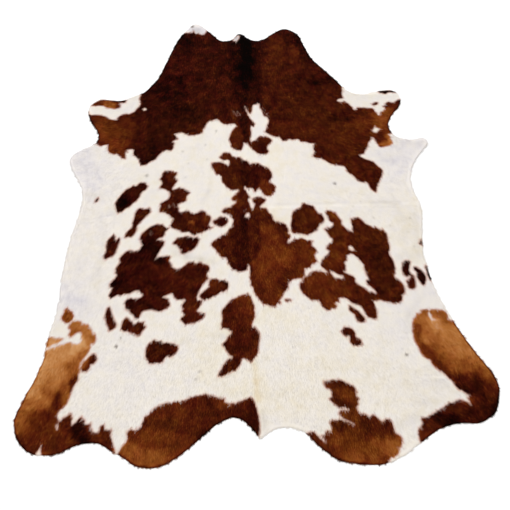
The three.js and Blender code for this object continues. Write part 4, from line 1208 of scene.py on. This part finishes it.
def lie_angle(chart):
    """Angle of the hair from straight back, in radians, positive to the right."""
    total, share = np.zeros(len(chart)), np.zeros(len(chart))
    for x, y, degrees in LIE:
        for side in (1, -1):
            away = (chart[:, 0] - side * x) ** 2 + (chart[:, 1] - y) ** 2
            weight = (away + LIE_BLEND ** 2) ** -LIE_FALL
            total += side * degrees * weight
            share += weight
    swirl = sum_of_waves(chart, SWIRLS) / math.sqrt(len(SWIRLS))
    return np.radians(total / share + SWIRL_DEG * swirl)


print(2 * len(LIE), "places set the lie of the hair")

# %% [markdown]
# ## Node group: streaks along the hair
# Noise that is stretched along the hair looks like combed strands, but the hair turns from
# place to place and one stretched noise can't. So the group holds one noise for each of several
# directions, and blends the two that lie next to the coat's own angle. Its three outputs come
# from the three channels of the same noise: for colour, for ragged patch edges and for relief.

# %% Helpers for node trees
VALUE, COLOR = "NodeSocketFloat", "NodeSocketColor"


def node(tree, kind, **settings):
    """A new node with its settings."""
    made = tree.nodes.new(kind)
    for name, value in settings.items():
        setattr(made, name, value)
    return made


def wire(tree, source, target):
    """Wires a socket to an input, or sets the input if the source is a number or a colour."""
    if isinstance(source, (int, float, tuple)):
        target.default_value = source
    else:
        tree.links.new(source, target)


def math_node(tree, operation, *values, clamp=False):
    """A Math node with each input wired to a socket or set to a number; returns its output."""
    made = node(tree, "ShaderNodeMath", operation=operation, use_clamp=clamp)
    for socket, value in zip(made.inputs, values):
        wire(tree, value, socket)
    return made.outputs[0]


def noise(tree, place, scale, detail=2.0, roughness=0.5, **settings):
    """A Noise Texture with the given number of spots in a unit; returns its outputs."""
    made = node(tree, "ShaderNodeTexNoise", **settings)
    set_inputs(made, Scale=scale, Detail=detail, Roughness=roughness)
    wire(tree, place, made.inputs["Vector"])
    return made.outputs


def object_place(tree):
    """Where on the object a point lies, in metres."""
    return node(tree, "ShaderNodeTexCoord").outputs["Object"]


def new_group(name, inputs, outputs):
    """A shader node group with named sockets, and its inner input and output sockets."""
    tree = bpy.data.node_groups.new(name, "ShaderNodeTree")
    for direction, sockets in (("INPUT", inputs), ("OUTPUT", outputs)):
        for socket_name, kind, *default in sockets:
            socket = tree.interface.new_socket(socket_name, in_out=direction, socket_type=kind)
            if default:
                socket.default_value = default[0]
    return tree, node(tree, "NodeGroupInput").outputs, node(tree, "NodeGroupOutput").inputs


# %% Node group "hair_streaks"
STREAK_TURN_DEG = 18            # from one direction to the next
STREAK_LAST_DEG = 108           # the directions go as far as this to either side
STREAK_WIDTH, STREAK_LENGTH = 2.2 * MM, 20 * MM

streaks, given, result = new_group(
    "hair_streaks", [("Angle", VALUE, 0.0)],
    [("Shade", VALUE), ("Ragged", VALUE), ("Relief", VALUE)],
)
place = object_place(streaks)
blended = None
for degrees in range(-STREAK_LAST_DEG, STREAK_LAST_DEG + 1, STREAK_TURN_DEG):
    off = math_node(streaks, "SUBTRACT", given["Angle"], math.radians(degrees))
    off = math_node(streaks, "ABSOLUTE", off)
    share = math_node(streaks, "MULTIPLY_ADD", off, -1 / math.radians(STREAK_TURN_DEG), 1.0)
    share = math_node(streaks, "MAXIMUM", share, 0.0)
    comb = node(streaks, "ShaderNodeMapping", vector_type="TEXTURE")
    set_inputs(
        comb, Rotation=(0, 0, math.radians(degrees)), Scale=(STREAK_WIDTH, STREAK_LENGTH, 1))
    wire(streaks, place, comb.inputs["Vector"])
    strands = noise(streaks, comb.outputs[0], 1.0, noise_dimensions="2D")
    part = node(streaks, "ShaderNodeVectorMath", operation="SCALE")
    wire(streaks, strands["Color"], part.inputs[0])
    wire(streaks, share, part.inputs["Scale"])
    if blended:
        total = node(streaks, "ShaderNodeVectorMath", operation="ADD")
        wire(streaks, blended, total.inputs[0])
        wire(streaks, part.outputs[0], total.inputs[1])
        blended = total.outputs[0]
    else:
        blended = part.outputs[0]
channels = node(streaks, "ShaderNodeSeparateXYZ")
wire(streaks, blended, channels.inputs[0])
for name, channel in zip(("Shade", "Ragged", "Relief"), channels.outputs):
    wire(streaks, math_node(streaks, "SUBTRACT", channel, 0.5), result[name])
print("hair_streaks:", len(streaks.nodes), "nodes")

# %% [markdown]
# ## Node group: pigment of the coat
# The underfur and the locks on it need the same colours. The group takes the distance to the
# nearest patch, the two shade scales, the hue and the fleck strength, which also holds the painted
# shade along the creases, and puts out one colour.
# Two colour ramps hold the real range of each kind of hair: black to tan for the patches, cool
# grey-white to straw for the rest. A slow mottling moves both scales a little, least in white
# and in tan hair, and a second noise turns the dark browns toward red or olive. White hair
# beside a patch takes up its warmth.

# %% Colours of the coat
BROWNS = [
    # place on the scale, colour as displayed, 0 to 255
    (0.00, (2, 1, 1)), (0.15, (23, 3, 2)), (0.30, (49, 11, 5)), (0.42, (72, 24, 9)),
    (0.55, (101, 43, 13)), (0.68, (144, 79, 31)), (0.82, (180, 115, 59)), (1.00, (210, 158, 106)),
]
WHITES = [
    (0.00, (216, 211, 214)), (0.25, (230, 224, 221)), (0.50, (235, 228, 219)),
    (0.75, (233, 224, 207)), (1.00, (226, 211, 184)),
]
# the flecks' colour, which also paints the shade along the creases
FLECK_AND_CREASE_SHADE_COLOUR = (96, 82, 72)
BLUSH_COLOUR = (190, 119, 90)   # white hair next to a patch is tinged with it


def linear(colour):
    """A displayed colour, 0 to 255 a channel, as the linear values that shaders use."""
    shares = [c / 255 for c in colour]
    return (*(s / 12.92 if s <= 0.04045 else ((s + 0.055) / 1.055) ** 2.4 for s in shares), 1)


def ramp(tree, stops, factor):
    """A colour ramp with the stops, read at the factor; returns its colour."""
    made = node(tree, "ShaderNodeValToRGB")
    elements = made.color_ramp.elements
    while len(elements) < len(stops):
        elements.new(0.5)
    for element, (at, colour) in zip(elements, stops):
        element.position, element.color = at, linear(colour)
    wire(tree, factor, made.inputs["Fac"])
    return made.outputs["Color"]


def mix_colours(tree, factor, first, second, blend="MIX"):
    """A colour Mix node; each colour is a socket or a linear colour."""
    made = node(tree, "ShaderNodeMix", data_type="RGBA", blend_type=blend)
    for slot, value in zip((0, 6, 7), (factor, first, second)):
        wire(tree, value, made.inputs[slot])
    return made.outputs[2]


print(len(BROWNS), "browns,", len(WHITES), "whites")

# %% Node group "coat_pigment"
MOTTLE_SIZE, MOTTLE_SWING = 44 * MM, 0.52
DARK_MOTTLE, TAN_CALM = 1.6, 1.9        # how strongly black hair is mottled, tan hair by how much less
LEAST_MOTTLE, WHITE_MOTTLE = 0.5, 0.30  # and what is left of it in tan hair and in white
HUE_SIZE, HUE_SWING = 42 * MM, 2.4
DARK_HUE, HUE_FADE = 1.25, 1.5  # tan hair turns red or olive less than dark hair does
RED_TINT, OLIVE_TINT = (1.0, 0.62, 1.1, 1), (0.96, 1.28, 0.9, 1)
WHITE_CLOUDS = 0.8              # slow drift between cool and straw white
BORDER_CM, BORDER_LIGHTER, BORDER_BLUSH = 0.9, 0.07, 0.66

pigment, given, result = new_group(
    "coat_pigment",
    [("Depth", VALUE, -PATCH_REACH), ("Softness", VALUE, 0.1), ("Brown", VALUE, BASE_BROWN),
     ("Cream", VALUE, BASE_CREAM), ("Hue", VALUE, 0.0), ("Fleck", VALUE, 0.0),
     ("Shade", VALUE, 0.0)],
    [("Color", COLOR)],
)
place = object_place(pigment)
mottle = noise(pigment, place, 1 / MOTTLE_SIZE, 4.0, 0.6)["Fac"]
cloud = noise(pigment, place, 1 / HUE_SIZE, 3.0)["Fac"]
cloud = math_node(pigment, "SUBTRACT", cloud, 0.5)
drift = math_node(pigment, "SUBTRACT", mottle, 0.5)
drift = math_node(pigment, "MULTIPLY_ADD", drift, MOTTLE_SWING, given["Shade"])
border = math_node(pigment, "ABSOLUTE", given["Depth"])
border = math_node(pigment, "MULTIPLY_ADD", border, -1 / BORDER_CM, 1.0, clamp=True)
patch = math_node(pigment, "DIVIDE", given["Depth"], given["Softness"])
patch = math_node(pigment, "MULTIPLY_ADD", patch, 0.5, 0.5, clamp=True)

strength = math_node(pigment, "MULTIPLY_ADD", given["Brown"], -TAN_CALM, DARK_MOTTLE)
strength = math_node(pigment, "MAXIMUM", strength, LEAST_MOTTLE)
brown = math_node(pigment, "MULTIPLY_ADD", drift, strength, given["Brown"])
brown = ramp(pigment, BROWNS, math_node(pigment, "MULTIPLY_ADD", border, BORDER_LIGHTER, brown))
turned = math_node(pigment, "MULTIPLY_ADD", given["Hue"], 0.5, 0.5)
turned = math_node(pigment, "MULTIPLY_ADD", cloud, HUE_SWING, turned, clamp=True)
tint = mix_colours(pigment, turned, RED_TINT, OLIVE_TINT)
fade = math_node(pigment, "MULTIPLY_ADD", given["Brown"], -HUE_FADE, DARK_HUE, clamp=True)
brown = mix_colours(pigment, fade, brown, tint, "MULTIPLY")

white = math_node(pigment, "MULTIPLY_ADD", drift, WHITE_MOTTLE, given["Cream"])
white = ramp(pigment, WHITES, math_node(pigment, "MULTIPLY_ADD", cloud, WHITE_CLOUDS, white))
blush = math_node(pigment, "MULTIPLY", border, BORDER_BLUSH)
white = mix_colours(pigment, blush, white, linear(BLUSH_COLOUR))
# flecks and smudges, and the painted shade along the creases
white = mix_colours(pigment, given["Fleck"], white, linear(FLECK_AND_CREASE_SHADE_COLOUR))
wire(pigment, mix_colours(pigment, patch, white, brown), result["Color"])
print("coat_pigment:", len(pigment.nodes), "nodes")

# %% [markdown]
# ## Material: the underfur
# This is the surface that the locks grow out of. It carries the whole pattern by itself, so the
# rug still reads as a hide where locks are thin. The streaks fray the patch edges across the
# hair and leave them clean along it, shift the shade a little, and give a fine combed relief.

# %% Material "underfur"
RAGGED_CM = 1.5
UNDERFUR_SHADE, UNDERFUR_SOFTNESS = 0.38, 0.30
HAIR_SURFACE = {
    "Roughness": 0.60, "Specular_IOR_Level": 0.02,
    "Specular_Tint": (1.0, 0.45, 0.25, 1),      # hair shines in its own warm colour
}


def attribute(tree, name):
    """A number that the mesh carries for each of its points."""
    return node(tree, "ShaderNodeAttribute", attribute_name=name).outputs["Fac"]


def place_group(tree, group, **inputs):
    """A node group placed in a material, each input wired to a socket or set to a number."""
    made = node(tree, "ShaderNodeGroup", node_tree=group)
    for name, value in inputs.items():
        wire(tree, value, made.inputs[name])
    return made.outputs


def coat_colour(tree, depth, softness, shade):
    """The coat's colour from its depth in a patch, and from the shades that the mesh carries."""
    carried = {name: attribute(tree, name.lower()) for name in ("Brown", "Cream", "Hue", "Fleck")}
    made = place_group(tree, pigment, Depth=depth, Softness=softness, Shade=shade, **carried)
    return made["Color"]


def relief(tree, shader, height, distance):
    """Lets a height that changes over the surface shade it as if it stood out."""
    bump = node(tree, "ShaderNodeBump")
    set_inputs(bump, Distance=distance, Strength=0.5)
    wire(tree, height, bump.inputs["Height"])
    wire(tree, bump.outputs["Normal"], shader.inputs["Normal"])


underfur, tree, shader = new_material("underfur", **HAIR_SURFACE)
streak = place_group(tree, streaks, Angle=attribute(tree, "lie"))
depth = math_node(tree, "MULTIPLY_ADD", streak["Ragged"], RAGGED_CM, attribute(tree, "depth"))
shade = math_node(tree, "MULTIPLY", streak["Shade"], UNDERFUR_SHADE)
wire(tree, coat_colour(tree, depth, UNDERFUR_SOFTNESS, shade), shader.inputs["Base Color"])
relief(tree, shader, streak["Relief"], 0.8 * MM)
print("underfur:", len(tree.nodes), "nodes")

# %% [markdown]
# ## Material: the locks
# A lock is one tuft of hair, so its depth, browns and flecks, with the painted shade of the
# creases, are the same from root to tip, and come with it as attributes. Tips catch more light
# than roots, so each lock's colour is painted darker toward its root, and no two tufts match
# exactly.

# %% Material "locks"
ROOT_SHADE = 0.88
LOCK_SHADE, LOCK_SOFTNESS = 0.45, 0.20

locks_paint, tree, shader = new_material("locks", **HAIR_SURFACE)
luck_shade = math_node(tree, "SUBTRACT", attribute(tree, "luck"), 0.5)
luck_shade = math_node(tree, "MULTIPLY", luck_shade, LOCK_SHADE)
colour = coat_colour(tree, attribute(tree, "depth"), LOCK_SOFTNESS, luck_shade)
# painted shade: the colour darkens toward the root, for the light that the tips catch and the roots miss
lit = math_node(tree, "MULTIPLY_ADD", attribute(tree, "tip"), 1 - ROOT_SHADE, ROOT_SHADE)
tint = node(tree, "ShaderNodeCombineColor")
for socket in tint.inputs[:3]:
    wire(tree, lit, socket)
colour = mix_colours(tree, 1.0, colour, tint.outputs[0], "MULTIPLY")
wire(tree, colour, shader.inputs["Base Color"])
print("locks:", len(tree.nodes), "nodes")

# %% [markdown]
# ## Material: the flesh side
# Under the coat the leather is brushed to a pale suede. It shows at the cut edge and when the
# rug is turned over: matt, faintly cloudy, with a short fine nap.

# %% Material "suede"
SUEDE_COLOURS = [(0.0, (150, 128, 100)), (0.5, (184, 162, 132)), (1.0, (208, 190, 162))]
CLOUDS_IN_METRE, NAPS_IN_METRE = 9.0, 420.0
NAP_SHARE, NAP_MEAN = 0.35, 0.17        # the nap's part in the colour, and what it adds on average

suede, tree, shader = new_material("suede", Roughness=0.92, Specular_IOR_Level=0.15)
place = object_place(tree)
clouds = noise(tree, place, CLOUDS_IN_METRE, 6.0, 0.65)["Fac"]
nap = noise(tree, place, NAPS_IN_METRE, 3.0)["Fac"]
shade = math_node(tree, "MULTIPLY_ADD", nap, NAP_SHARE, clouds)
shade = math_node(tree, "SUBTRACT", shade, NAP_MEAN)
wire(tree, ramp(tree, SUEDE_COLOURS, shade), shader.inputs["Base Color"])
relief(tree, shader, nap, 0.3 * MM)
print("suede:", len(tree.nodes), "nodes")

# %% [markdown]
# ## The sheet
# The sheet is one closed mesh. Its upper side is filled with small even triangles between the
# points of the cut edge, by a constrained Delaunay fill, fine enough to carry the pattern as
# attributes. The underside needs only large ones. A narrow wall, the thickness of the leather,
# joins the two. The coat thins to nothing over the last 13 mm, so the rim is soft.

# %% Surface of the coat
UPPER_STEP, LOWER_STEP = 7.6 * MM, 30 * MM
LATTICE_SHIFT, EDGE_CLEAR = 0.08, 0.55  # in steps of the lattice
SKIN = 2.0 * MM
SKIN_DROP, SKIN_LEAST = 7 * MM, 0.2     # past the edge the height of the skin falls, to this share
NAP_SUNK = 1.2 * MM             # how far the underfur stays below the tips of the locks
EDGE_ROLL = 13 * MM
EDGE_REACH = 30 * MM


def coat_top(points, inside):
    """Height of the underfur; inside is the distance from the cut edge, negative beyond it."""
    skin_top = underside(points) + SKIN * np.clip(1 + inside / SKIN_DROP, SKIN_LEAST, 1)
    hair = read_grid(upper_grid, points) - read_grid(lower_grid, points) - SKIN - NAP_SUNK
    waves = WAVE_RISE * sum_of_waves(points, SOFT_WAVES)
    return skin_top + smooth_step(inside / EDGE_ROLL) * (hair + waves)


def hexagon_points(step):
    """Points one step apart in staggered rows over the whole hide."""
    found = []
    for k, y in enumerate(np.arange(low.y, high.y, step * math.sqrt(0.75))):
        x = np.arange(low.x, high.x, step) + (k % 2) * step / 2
        found.append(np.stack([x, np.full(len(x), y)], 1))
    return np.concatenate(found)


def filled(step):
    """Points and triangles of the area inside the cut edge, the edge's points first."""
    points = hexagon_points(step) + rng.normal(scale=LATTICE_SHIFT * step, size=(1, 2))
    points = points[signed_distance(points, edge, step) > EDGE_CLEAR * step]
    asked = [Vector(p) for p in np.vstack([edge, points])]
    rim = [list(range(len(edge)))]
    places, _, faces, origins, *_ = geometry.delaunay_2d_cdt(asked, [], rim, 1, 1e-7)
    order = np.array([origin[0] for origin in origins])
    kept = np.zeros((len(asked), 2))
    kept[order] = np.array([place[:] for place in places])
    return kept, order[np.array(faces)]


# %% The closed sheet
upper, upper_faces = filled(UPPER_STEP)
lower, lower_faces = filled(LOWER_STEP)
upper_inside = signed_distance(upper, edge, EDGE_REACH)
upper_inside[:len(edge)] = 0
n_upper, n_edge = len(upper), len(edge)
spots = np.vstack([
    np.column_stack([upper, coat_top(upper, upper_inside)]),
    np.column_stack([lower, underside(lower)]),
])
here, there = np.arange(n_edge), np.roll(np.arange(n_edge), -1)
wall = np.vstack([
    np.stack([n_upper + here, n_upper + there, there], 1),
    np.stack([n_upper + here, there, here], 1),
])


def facing(points, triangles, up):
    """Triangles turned so that all of them face up, or all down."""
    a, b, c = (points[triangles[:, i]] for i in range(3))
    turn = (b[:, 0] - a[:, 0]) * (c[:, 1] - a[:, 1]) - (b[:, 1] - a[:, 1]) * (c[:, 0] - a[:, 0])
    return np.where(((turn > 0) == up)[:, None], triangles, triangles[:, ::-1])


faces = np.vstack([
    facing(upper, upper_faces, True), n_upper + facing(lower, lower_faces, False), wall,
])
print(n_upper, "points above,", len(lower), "below,", n_edge, "of them round the edge")

# %% Helpers for meshes
def mesh_of(name, places, triangles):
    """A mesh of triangles."""
    made = bpy.data.meshes.new(name)
    made.vertices.add(len(places))
    made.vertices.foreach_set("co", places.astype(np.float32).ravel())
    made.loops.add(triangles.size)
    made.loops.foreach_set("vertex_index", triangles.astype(np.int32).ravel())
    made.polygons.add(len(triangles))
    made.polygons.foreach_set("loop_start", np.arange(0, triangles.size, 3, dtype=np.int32))
    made.update(calc_edges=True)
    return made


def give(mesh, name, values):
    """A number for each point of a mesh, for its material to read."""
    layer = mesh.attributes.new(name, "FLOAT", "POINT")
    layer.data.foreach_set("value", values.astype(np.float32))


def give_map(mesh, per_corner):
    """The flat map through which the mesh's colours can be stored as a picture."""
    layer = mesh.uv_layers.new(name="OFBake", do_init=False)
    layer.uv.foreach_set("vector", per_corner.astype(np.float32).ravel())


# %% The sheet and what it carries
MAP_SIDE = 2.42                 # metres of hide across the map
MAP_MARGIN = 20 * MM
UNDER_STRIP, UNDER_WIDTH = 0.83, 0.15   # the underside is squeezed into a strip of the map

sheet_mesh = mesh_of("cowhide_sheet", spots, faces)
sheet = new_object("cowhide_sheet", sheet_mesh, underfur, suede)
leather = np.arange(len(faces)) >= len(upper_faces)
sheet_mesh.polygons.foreach_set("material_index", leather.astype(np.int32))
smooth = np.arange(len(faces)) < len(faces) - len(wall)
sheet_mesh.polygons.foreach_set("use_smooth", smooth)
chart = to_chart(spots[:, :2])
depth, brown = patch_fields(chart)
inside = np.resize(upper_inside, len(spots))    # what the underside is given here never shows
for name, values in (
    ("depth", depth),
    ("brown", marked_brown(brown, chart) - painted_rim_shade(inside)),
    ("cream", drifted(chart, BASE_CREAM, CREAM_DRIFTS)),
    ("hue", drifted(chart, 0.0, HUE_DRIFTS)),
    ("fleck", fleck_and_crease_shade(chart)),
    ("lie", lie_angle(chart)),
):
    give(sheet_mesh, name, values)

flat = (spots[:, :2] - (low.x - MAP_MARGIN, low.y - MAP_MARGIN)) / MAP_SIDE
under = flat * (UNDER_WIDTH, 1) + (UNDER_STRIP, 0)
give_map(sheet_mesh, np.where(leather[:, None, None], under[faces], flat[faces]).reshape(-1, 2))
upper_area = sum(p.area for p in sheet_mesh.polygons if p.material_index == 0)
print("sheet:", len(spots), "points,", len(faces), "triangles,", round(upper_area, 3), "m2 of coat")

# %% [markdown]
# ## The locks of hair
# Single hairs would need millions of faces. A coat this short reads as small flat tufts, so each
# lock is one: a slim spike with a ridge, about 2 cm long, rooted in the underfur, with its tip
# just above it. Laid close together along the lie of the hair, they overlap like the real coat,
# fray the patch edges in the right direction, and stand out past the rim. Hair curves and
# particles would look alike here but leave no solid mesh, so numpy places every corner.

# %% Noise that follows the hair
HAIR_TURNS = 9                  # directions to either side of straight back
TURN_APART = 40                 # keeps their readings of the noise table apart


def combed_noise(chart, angle, size):
    """Noise stretched along the hair; size is its width and length in cm."""
    total, step = np.zeros(len(chart)), math.radians(STREAK_TURN_DEG)
    for k in range(-HAIR_TURNS, HAIR_TURNS + 1):
        share = np.clip(1 - np.abs(angle / step - k), 0, 1)
        some = np.flatnonzero(share)
        across = chart[some] @ (math.cos(k * step), math.sin(k * step))
        along = chart[some] @ (math.sin(k * step), -math.cos(k * step))
        total[some] += share[some] * table_noise(across / size[0] + TURN_APART * k, along / size[1])
    return total


# %% Where the locks grow
LOCK_STEP, LOCK_JITTER = 4.42 * MM, 0.42        # the jitter in steps
LOCK_LENGTH, LENGTH_LEAST, LENGTH_SPREAD = 20 * MM, 0.75, 0.5
LOCK_TURN_DEG = 7               # how far locks stray from the lie of the hair
ROOT_CLEAR, ROOT_CLEAR_LAST = 1.0 * MM, 0.5 * MM        # from the edge, before and after the slide
PAST_RIM, PAST_LUCK = 6 * MM, 1.5 * MM  # how far tips reach past the cut edge; what chance adds
RIM_POINTS_CM, RIM_MEAN, RIM_SWING = (0.8, 9.0), 0.35, 0.6


def along_lie(angle):
    """The direction of hair that lies at an angle."""
    return np.stack([np.sin(angle), -np.cos(angle)], 1)


roots = hexagon_points(LOCK_STEP)
roots += rng.uniform(-LOCK_JITTER, LOCK_JITTER, roots.shape) * LOCK_STEP
roots = roots[signed_distance(roots, edge, EDGE_ROLL) > ROOT_CLEAR]
count = len(roots)
luck = rng.uniform(size=(count, 6))
angle = lie_angle(to_chart(roots)) + np.radians(rng.normal(scale=LOCK_TURN_DEG, size=count))
heading = along_lie(angle)
length = LOCK_LENGTH * (LENGTH_LEAST + LENGTH_SPREAD * luck[:, 0])
points = RIM_MEAN + RIM_SWING * combed_noise(to_chart(roots), angle, RIM_POINTS_CM)
allowed = PAST_RIM * np.clip(points, 0, 1) + PAST_LUCK * luck[:, 1]
past = -signed_distance(roots + heading * length[:, None], edge, EDGE_REACH) - allowed
roots -= heading * np.clip(past, 0, None)[:, None]
inside = signed_distance(roots, edge, EDGE_REACH)
kept = inside > ROOT_CLEAR_LAST
roots, inside, luck, angle = roots[kept], inside[kept], luck[kept], angle[kept]
heading, length = heading[kept], length[kept]
print(len(roots), "locks on the coat")

# %% A fringe along the cut edge
# Hair next to the knife's line has lost its neighbours, so it leans out over the edge in points.
FRINGE_STEP, FRINGE_ROOT, ROOT_SPREAD = 1.8 * MM, 5 * MM, (0.8, 1.3)
FRINGE_LEAN, EXTRA_LEAN = 1.2, 0.7      # outward against the lie of the hair; more where it lies inward
FRINGE_STRAY, FRINGE_SLANT = 0.12, 0.4  # chance in the direction; the least share of it that is outward
FRINGE_PAST = (0.5 * MM, 11 * MM)
FRINGE_POINTS_CM = 0.8          # width of a point
POINT_MEAN, POINT_SWING = 0.3, 0.95     # a point's height, as a share of the reach
FINE_SWING, FINE_TIMES, FINE_AT = 0.3, 2.3, 9   # and finer points on them
FACING_MEAN, FACING_RANGE = 0.75, (0.65, 0.9)   # points are longer where the hair lies outward

along_rim = even_steps(edge, FRINGE_STEP)
out = away_from(along_rim, 2)
fringe = along_rim - out * FRINGE_ROOT * rng.uniform(*ROOT_SPREAD, (len(out), 1))
fringe_angle = lie_angle(to_chart(fringe))
lie = along_lie(fringe_angle)
facing_out = (lie * out).sum(1)
lean = FRINGE_LEAN + EXTRA_LEAN * np.clip(-facing_out, 0, 1)
way = lie + lean[:, None] * out + rng.normal(scale=FRINGE_STRAY, size=out.shape)
way /= np.hypot(*way.T)[:, None]
run = np.arange(len(out)) * FRINGE_STEP / CM / FRINGE_POINTS_CM
points = POINT_MEAN + POINT_SWING * table_noise(run, 0 * run)
points = points + FINE_SWING * table_noise(FINE_TIMES * run, 0 * run + FINE_AT)
past = FRINGE_PAST[0] + np.ptp(FRINGE_PAST) * np.clip(points, 0, 1) * np.clip(
    FACING_MEAN + facing_out, *FACING_RANGE)
fringe_length = (FRINGE_ROOT + past) / np.maximum((way * out).sum(1), FRINGE_SLANT)
rim_from = len(roots)
roots, heading = np.vstack([roots, fringe]), np.vstack([heading, way])
angle, length = np.append(angle, fringe_angle), np.append(length, fringe_length)
luck = np.vstack([luck, rng.uniform(size=(len(fringe), 6))])
inside = np.append(inside, signed_distance(fringe, edge, EDGE_REACH))
count = len(roots)
print(len(fringe), "locks of fringe,", count, "in all")
print(round(count / upper_area / 1e4, 1), "locks a square centimetre")

# %% Heights of roots and tips
LOCK_LIFT = (0.3 * MM, 2.0 * MM)
LOCK_SUNK = 1.0 * MM
ROOT_ROLL, TIP_ROLL = 0.3, 0.6  # how far up their rise sinking and lift are at the rim itself
TIP_CLEAR = 0.5 * MM            # above the floor
SLOPE_STEP = 4 * MM

tips = roots + heading * length[:, None]
tips_inside = signed_distance(tips, edge, EDGE_REACH)
root_height = coat_top(roots, inside) - LOCK_SUNK * smooth_step(inside / EDGE_ROLL + ROOT_ROLL)
lift = LOCK_LIFT[0] + (LOCK_LIFT[1] - LOCK_LIFT[0]) * luck[:, 2] ** 2
tip_height = coat_top(tips, tips_inside) + lift * smooth_step(tips_inside / EDGE_ROLL + TIP_ROLL)
tip_height = np.maximum(tip_height, TIP_CLEAR)


def slope(axis):
    """How steeply the coat rises at the roots, along x or along y."""
    shift = np.eye(2)[axis] * SLOPE_STEP
    rise = coat_top(roots + shift, inside) - coat_top(roots - shift, inside)
    return rise / (2 * SLOPE_STEP)


print("tips up to", round(float(tip_height.max()) / MM, 1), "mm above the floor")

# %% Shape of the locks
LOCK_WIDTH, WIDTH_LEAST, WIDTH_SPREAD = 2.5 * MM, 0.7, 0.6
LOCK_RIDGE, RIDGE_AT = 0.5 * MM, 0.2    # its height, and its place along the lock
ROUNDNESS, TIP_LEAN = 0.5, 0.15 # how far a lock's sides and its tip turn the light


def unit(vectors):
    """Vectors made one long, along their last axis."""
    return vectors / np.linalg.norm(vectors, axis=-1, keepdims=True)


up = np.column_stack([-slope(0), -slope(1), np.ones(count)])
root_spots, tip_spots = np.column_stack([roots, root_height]), np.column_stack([tips, tip_height])
along = tip_spots - root_spots
side = unit(np.cross(along, up))
ridge_way = unit(np.cross(side, along))
half_width = (LOCK_WIDTH / 2 * (WIDTH_LEAST + WIDTH_SPREAD * luck[:, 3]))[:, None]
corner_spots = np.stack([
    root_spots - side * half_width,
    root_spots + side * half_width,
    root_spots + RIDGE_AT * along + ridge_way * LOCK_RIDGE,
    tip_spots + side * (LOCK_WIDTH * (luck[:, 4:5] - 0.5)),
], 1)
up = unit(up)
corner_turns = unit(np.stack([
    up - ROUNDNESS * side, up + ROUNDNESS * side, up, up + TIP_LEAN * along / length[:, None],
], 1))
print("widest lock", round(float(half_width.max()) * 2 / MM, 1), "mm")

# %% Colour of the locks
COLOUR_AT = 0.5                 # the part of a lock whose place on the chart gives its colour
# Tufts slide along the hair, which frays the patches' edges: width and length, slide, in cm.
TUFTS = [((0.9, 3.4), 1.1), ((0.5, 2.2), 0.5)]
EDGE_JITTER_CM = 0.20
MIXED_FULL = 1.4                # makes the middle of a mixed streak even
STREAK_SHADE, STREAK_SIZE_CM = 0.07, (1.1, 6.0)

chart = to_chart(roots + heading * (COLOUR_AT * length)[:, None])
slid = sum(ragged * combed_noise(chart, angle, size) for size, ragged in TUFTS)
chart += heading * slid[:, None] + rng.normal(scale=EDGE_JITTER_CM, size=(count, 2))
lock_depth, lock_brown = patch_fields(chart)
for start, end, reach, share in MIXED_HAIR:
    near = np.minimum(MIXED_FULL * nearness(chart, start, end, reach), 1)
    mixed = rng.uniform(size=count) < share * near
    lock_depth[mixed] = rng.uniform(*MIXED_DEPTH, mixed.sum())
lock_fleck = fleck_and_crease_shade(chart)
for start, end, reach, share, strength in FRECKLE_FIELDS:
    freckled = rng.uniform(size=count) < share * nearness(chart, start, end, reach)
    lock_fleck[freckled] = np.maximum(lock_fleck[freckled], strength)
lock_brown = marked_brown(lock_brown, chart) - painted_rim_shade(inside)
lock_brown += STREAK_SHADE * combed_noise(chart, angle, STREAK_SIZE_CM)
carried = {
    "depth": lock_depth, "brown": lock_brown, "cream": drifted(chart, BASE_CREAM, CREAM_DRIFTS),
    "hue": drifted(chart, 0.0, HUE_DRIFTS), "fleck": lock_fleck, "luck": luck[:, 5],
}
print("brown locks:", round(float((lock_depth > 0).mean()) * 100), "per cent")

# %% The lock meshes
# A lock's four faces, by its corners: left foot, right foot, ridge, tip.
LOCK_FACES = np.array([(0, 2, 3), (1, 3, 2), (0, 3, 1), (0, 1, 2)])
TIP_SHARES = (0.0, 0.0, 0.35, 1.0)      # how much of a tip's light each corner gets
MAP_CORNERS = np.array([(0.2, 0.15), (0.8, 0.15), (0.5, 0.45), (0.5, 0.85)])
REGIONS = ("neck_and_shoulders", "left_side", "right_side", "hindquarters", "fringe")
NECK, LEFT, RIGHT, HIND, FRINGE = range(len(REGIONS))

front, rear = np.quantile(roots[:, 1], (0.75, 0.25))
middle = (roots[:, 1] <= front) & (roots[:, 1] >= rear)
halfway = np.median(roots[middle, 0])
region = np.where(roots[:, 1] > front, NECK, np.where(roots[:, 1] < rear, HIND, RIGHT))
region[middle & (roots[:, 0] < halfway)] = LEFT
region[rim_from:] = FRINGE


def build_locks(name, chosen):
    """One mesh of the chosen locks, with their colours, their shading and a square each on the map."""
    total = len(chosen)
    first = 4 * np.arange(total)[:, None, None]
    mesh = mesh_of(name, corner_spots[chosen].reshape(-1, 3), (first + LOCK_FACES).reshape(-1, 3))
    for label, values in carried.items():
        give(mesh, label, np.repeat(values[chosen], 4))
    give(mesh, "tip", np.tile(TIP_SHARES, total))
    across = math.ceil(math.sqrt(total))
    square = np.stack([np.arange(total) % across, np.arange(total) // across], 1)[:, None]
    give_map(mesh, ((square + MAP_CORNERS)[:, LOCK_FACES] / across).reshape(-1, 2))
    mesh.shade_smooth()
    mesh.normals_split_custom_set_from_vertices(corner_turns[chosen].reshape(-1, 3))
    return new_object(name, mesh, locks_paint)


coats = [build_locks(f"locks_{name}", np.flatnonzero(region == k)) for k, name in enumerate(REGIONS)]
for piece in coats:
    print(piece.name, len(piece.data.polygons), "triangles")

# %% [markdown]
# ## Attaching the pieces
# The sheet stands for the imported solid, which is hidden, and the locks go with it. The area
# inside the cut edge is worked out.

for piece in (sheet, *coats):
    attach(piece, "root")
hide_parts("hide")
cut_area = loop_area(edge)
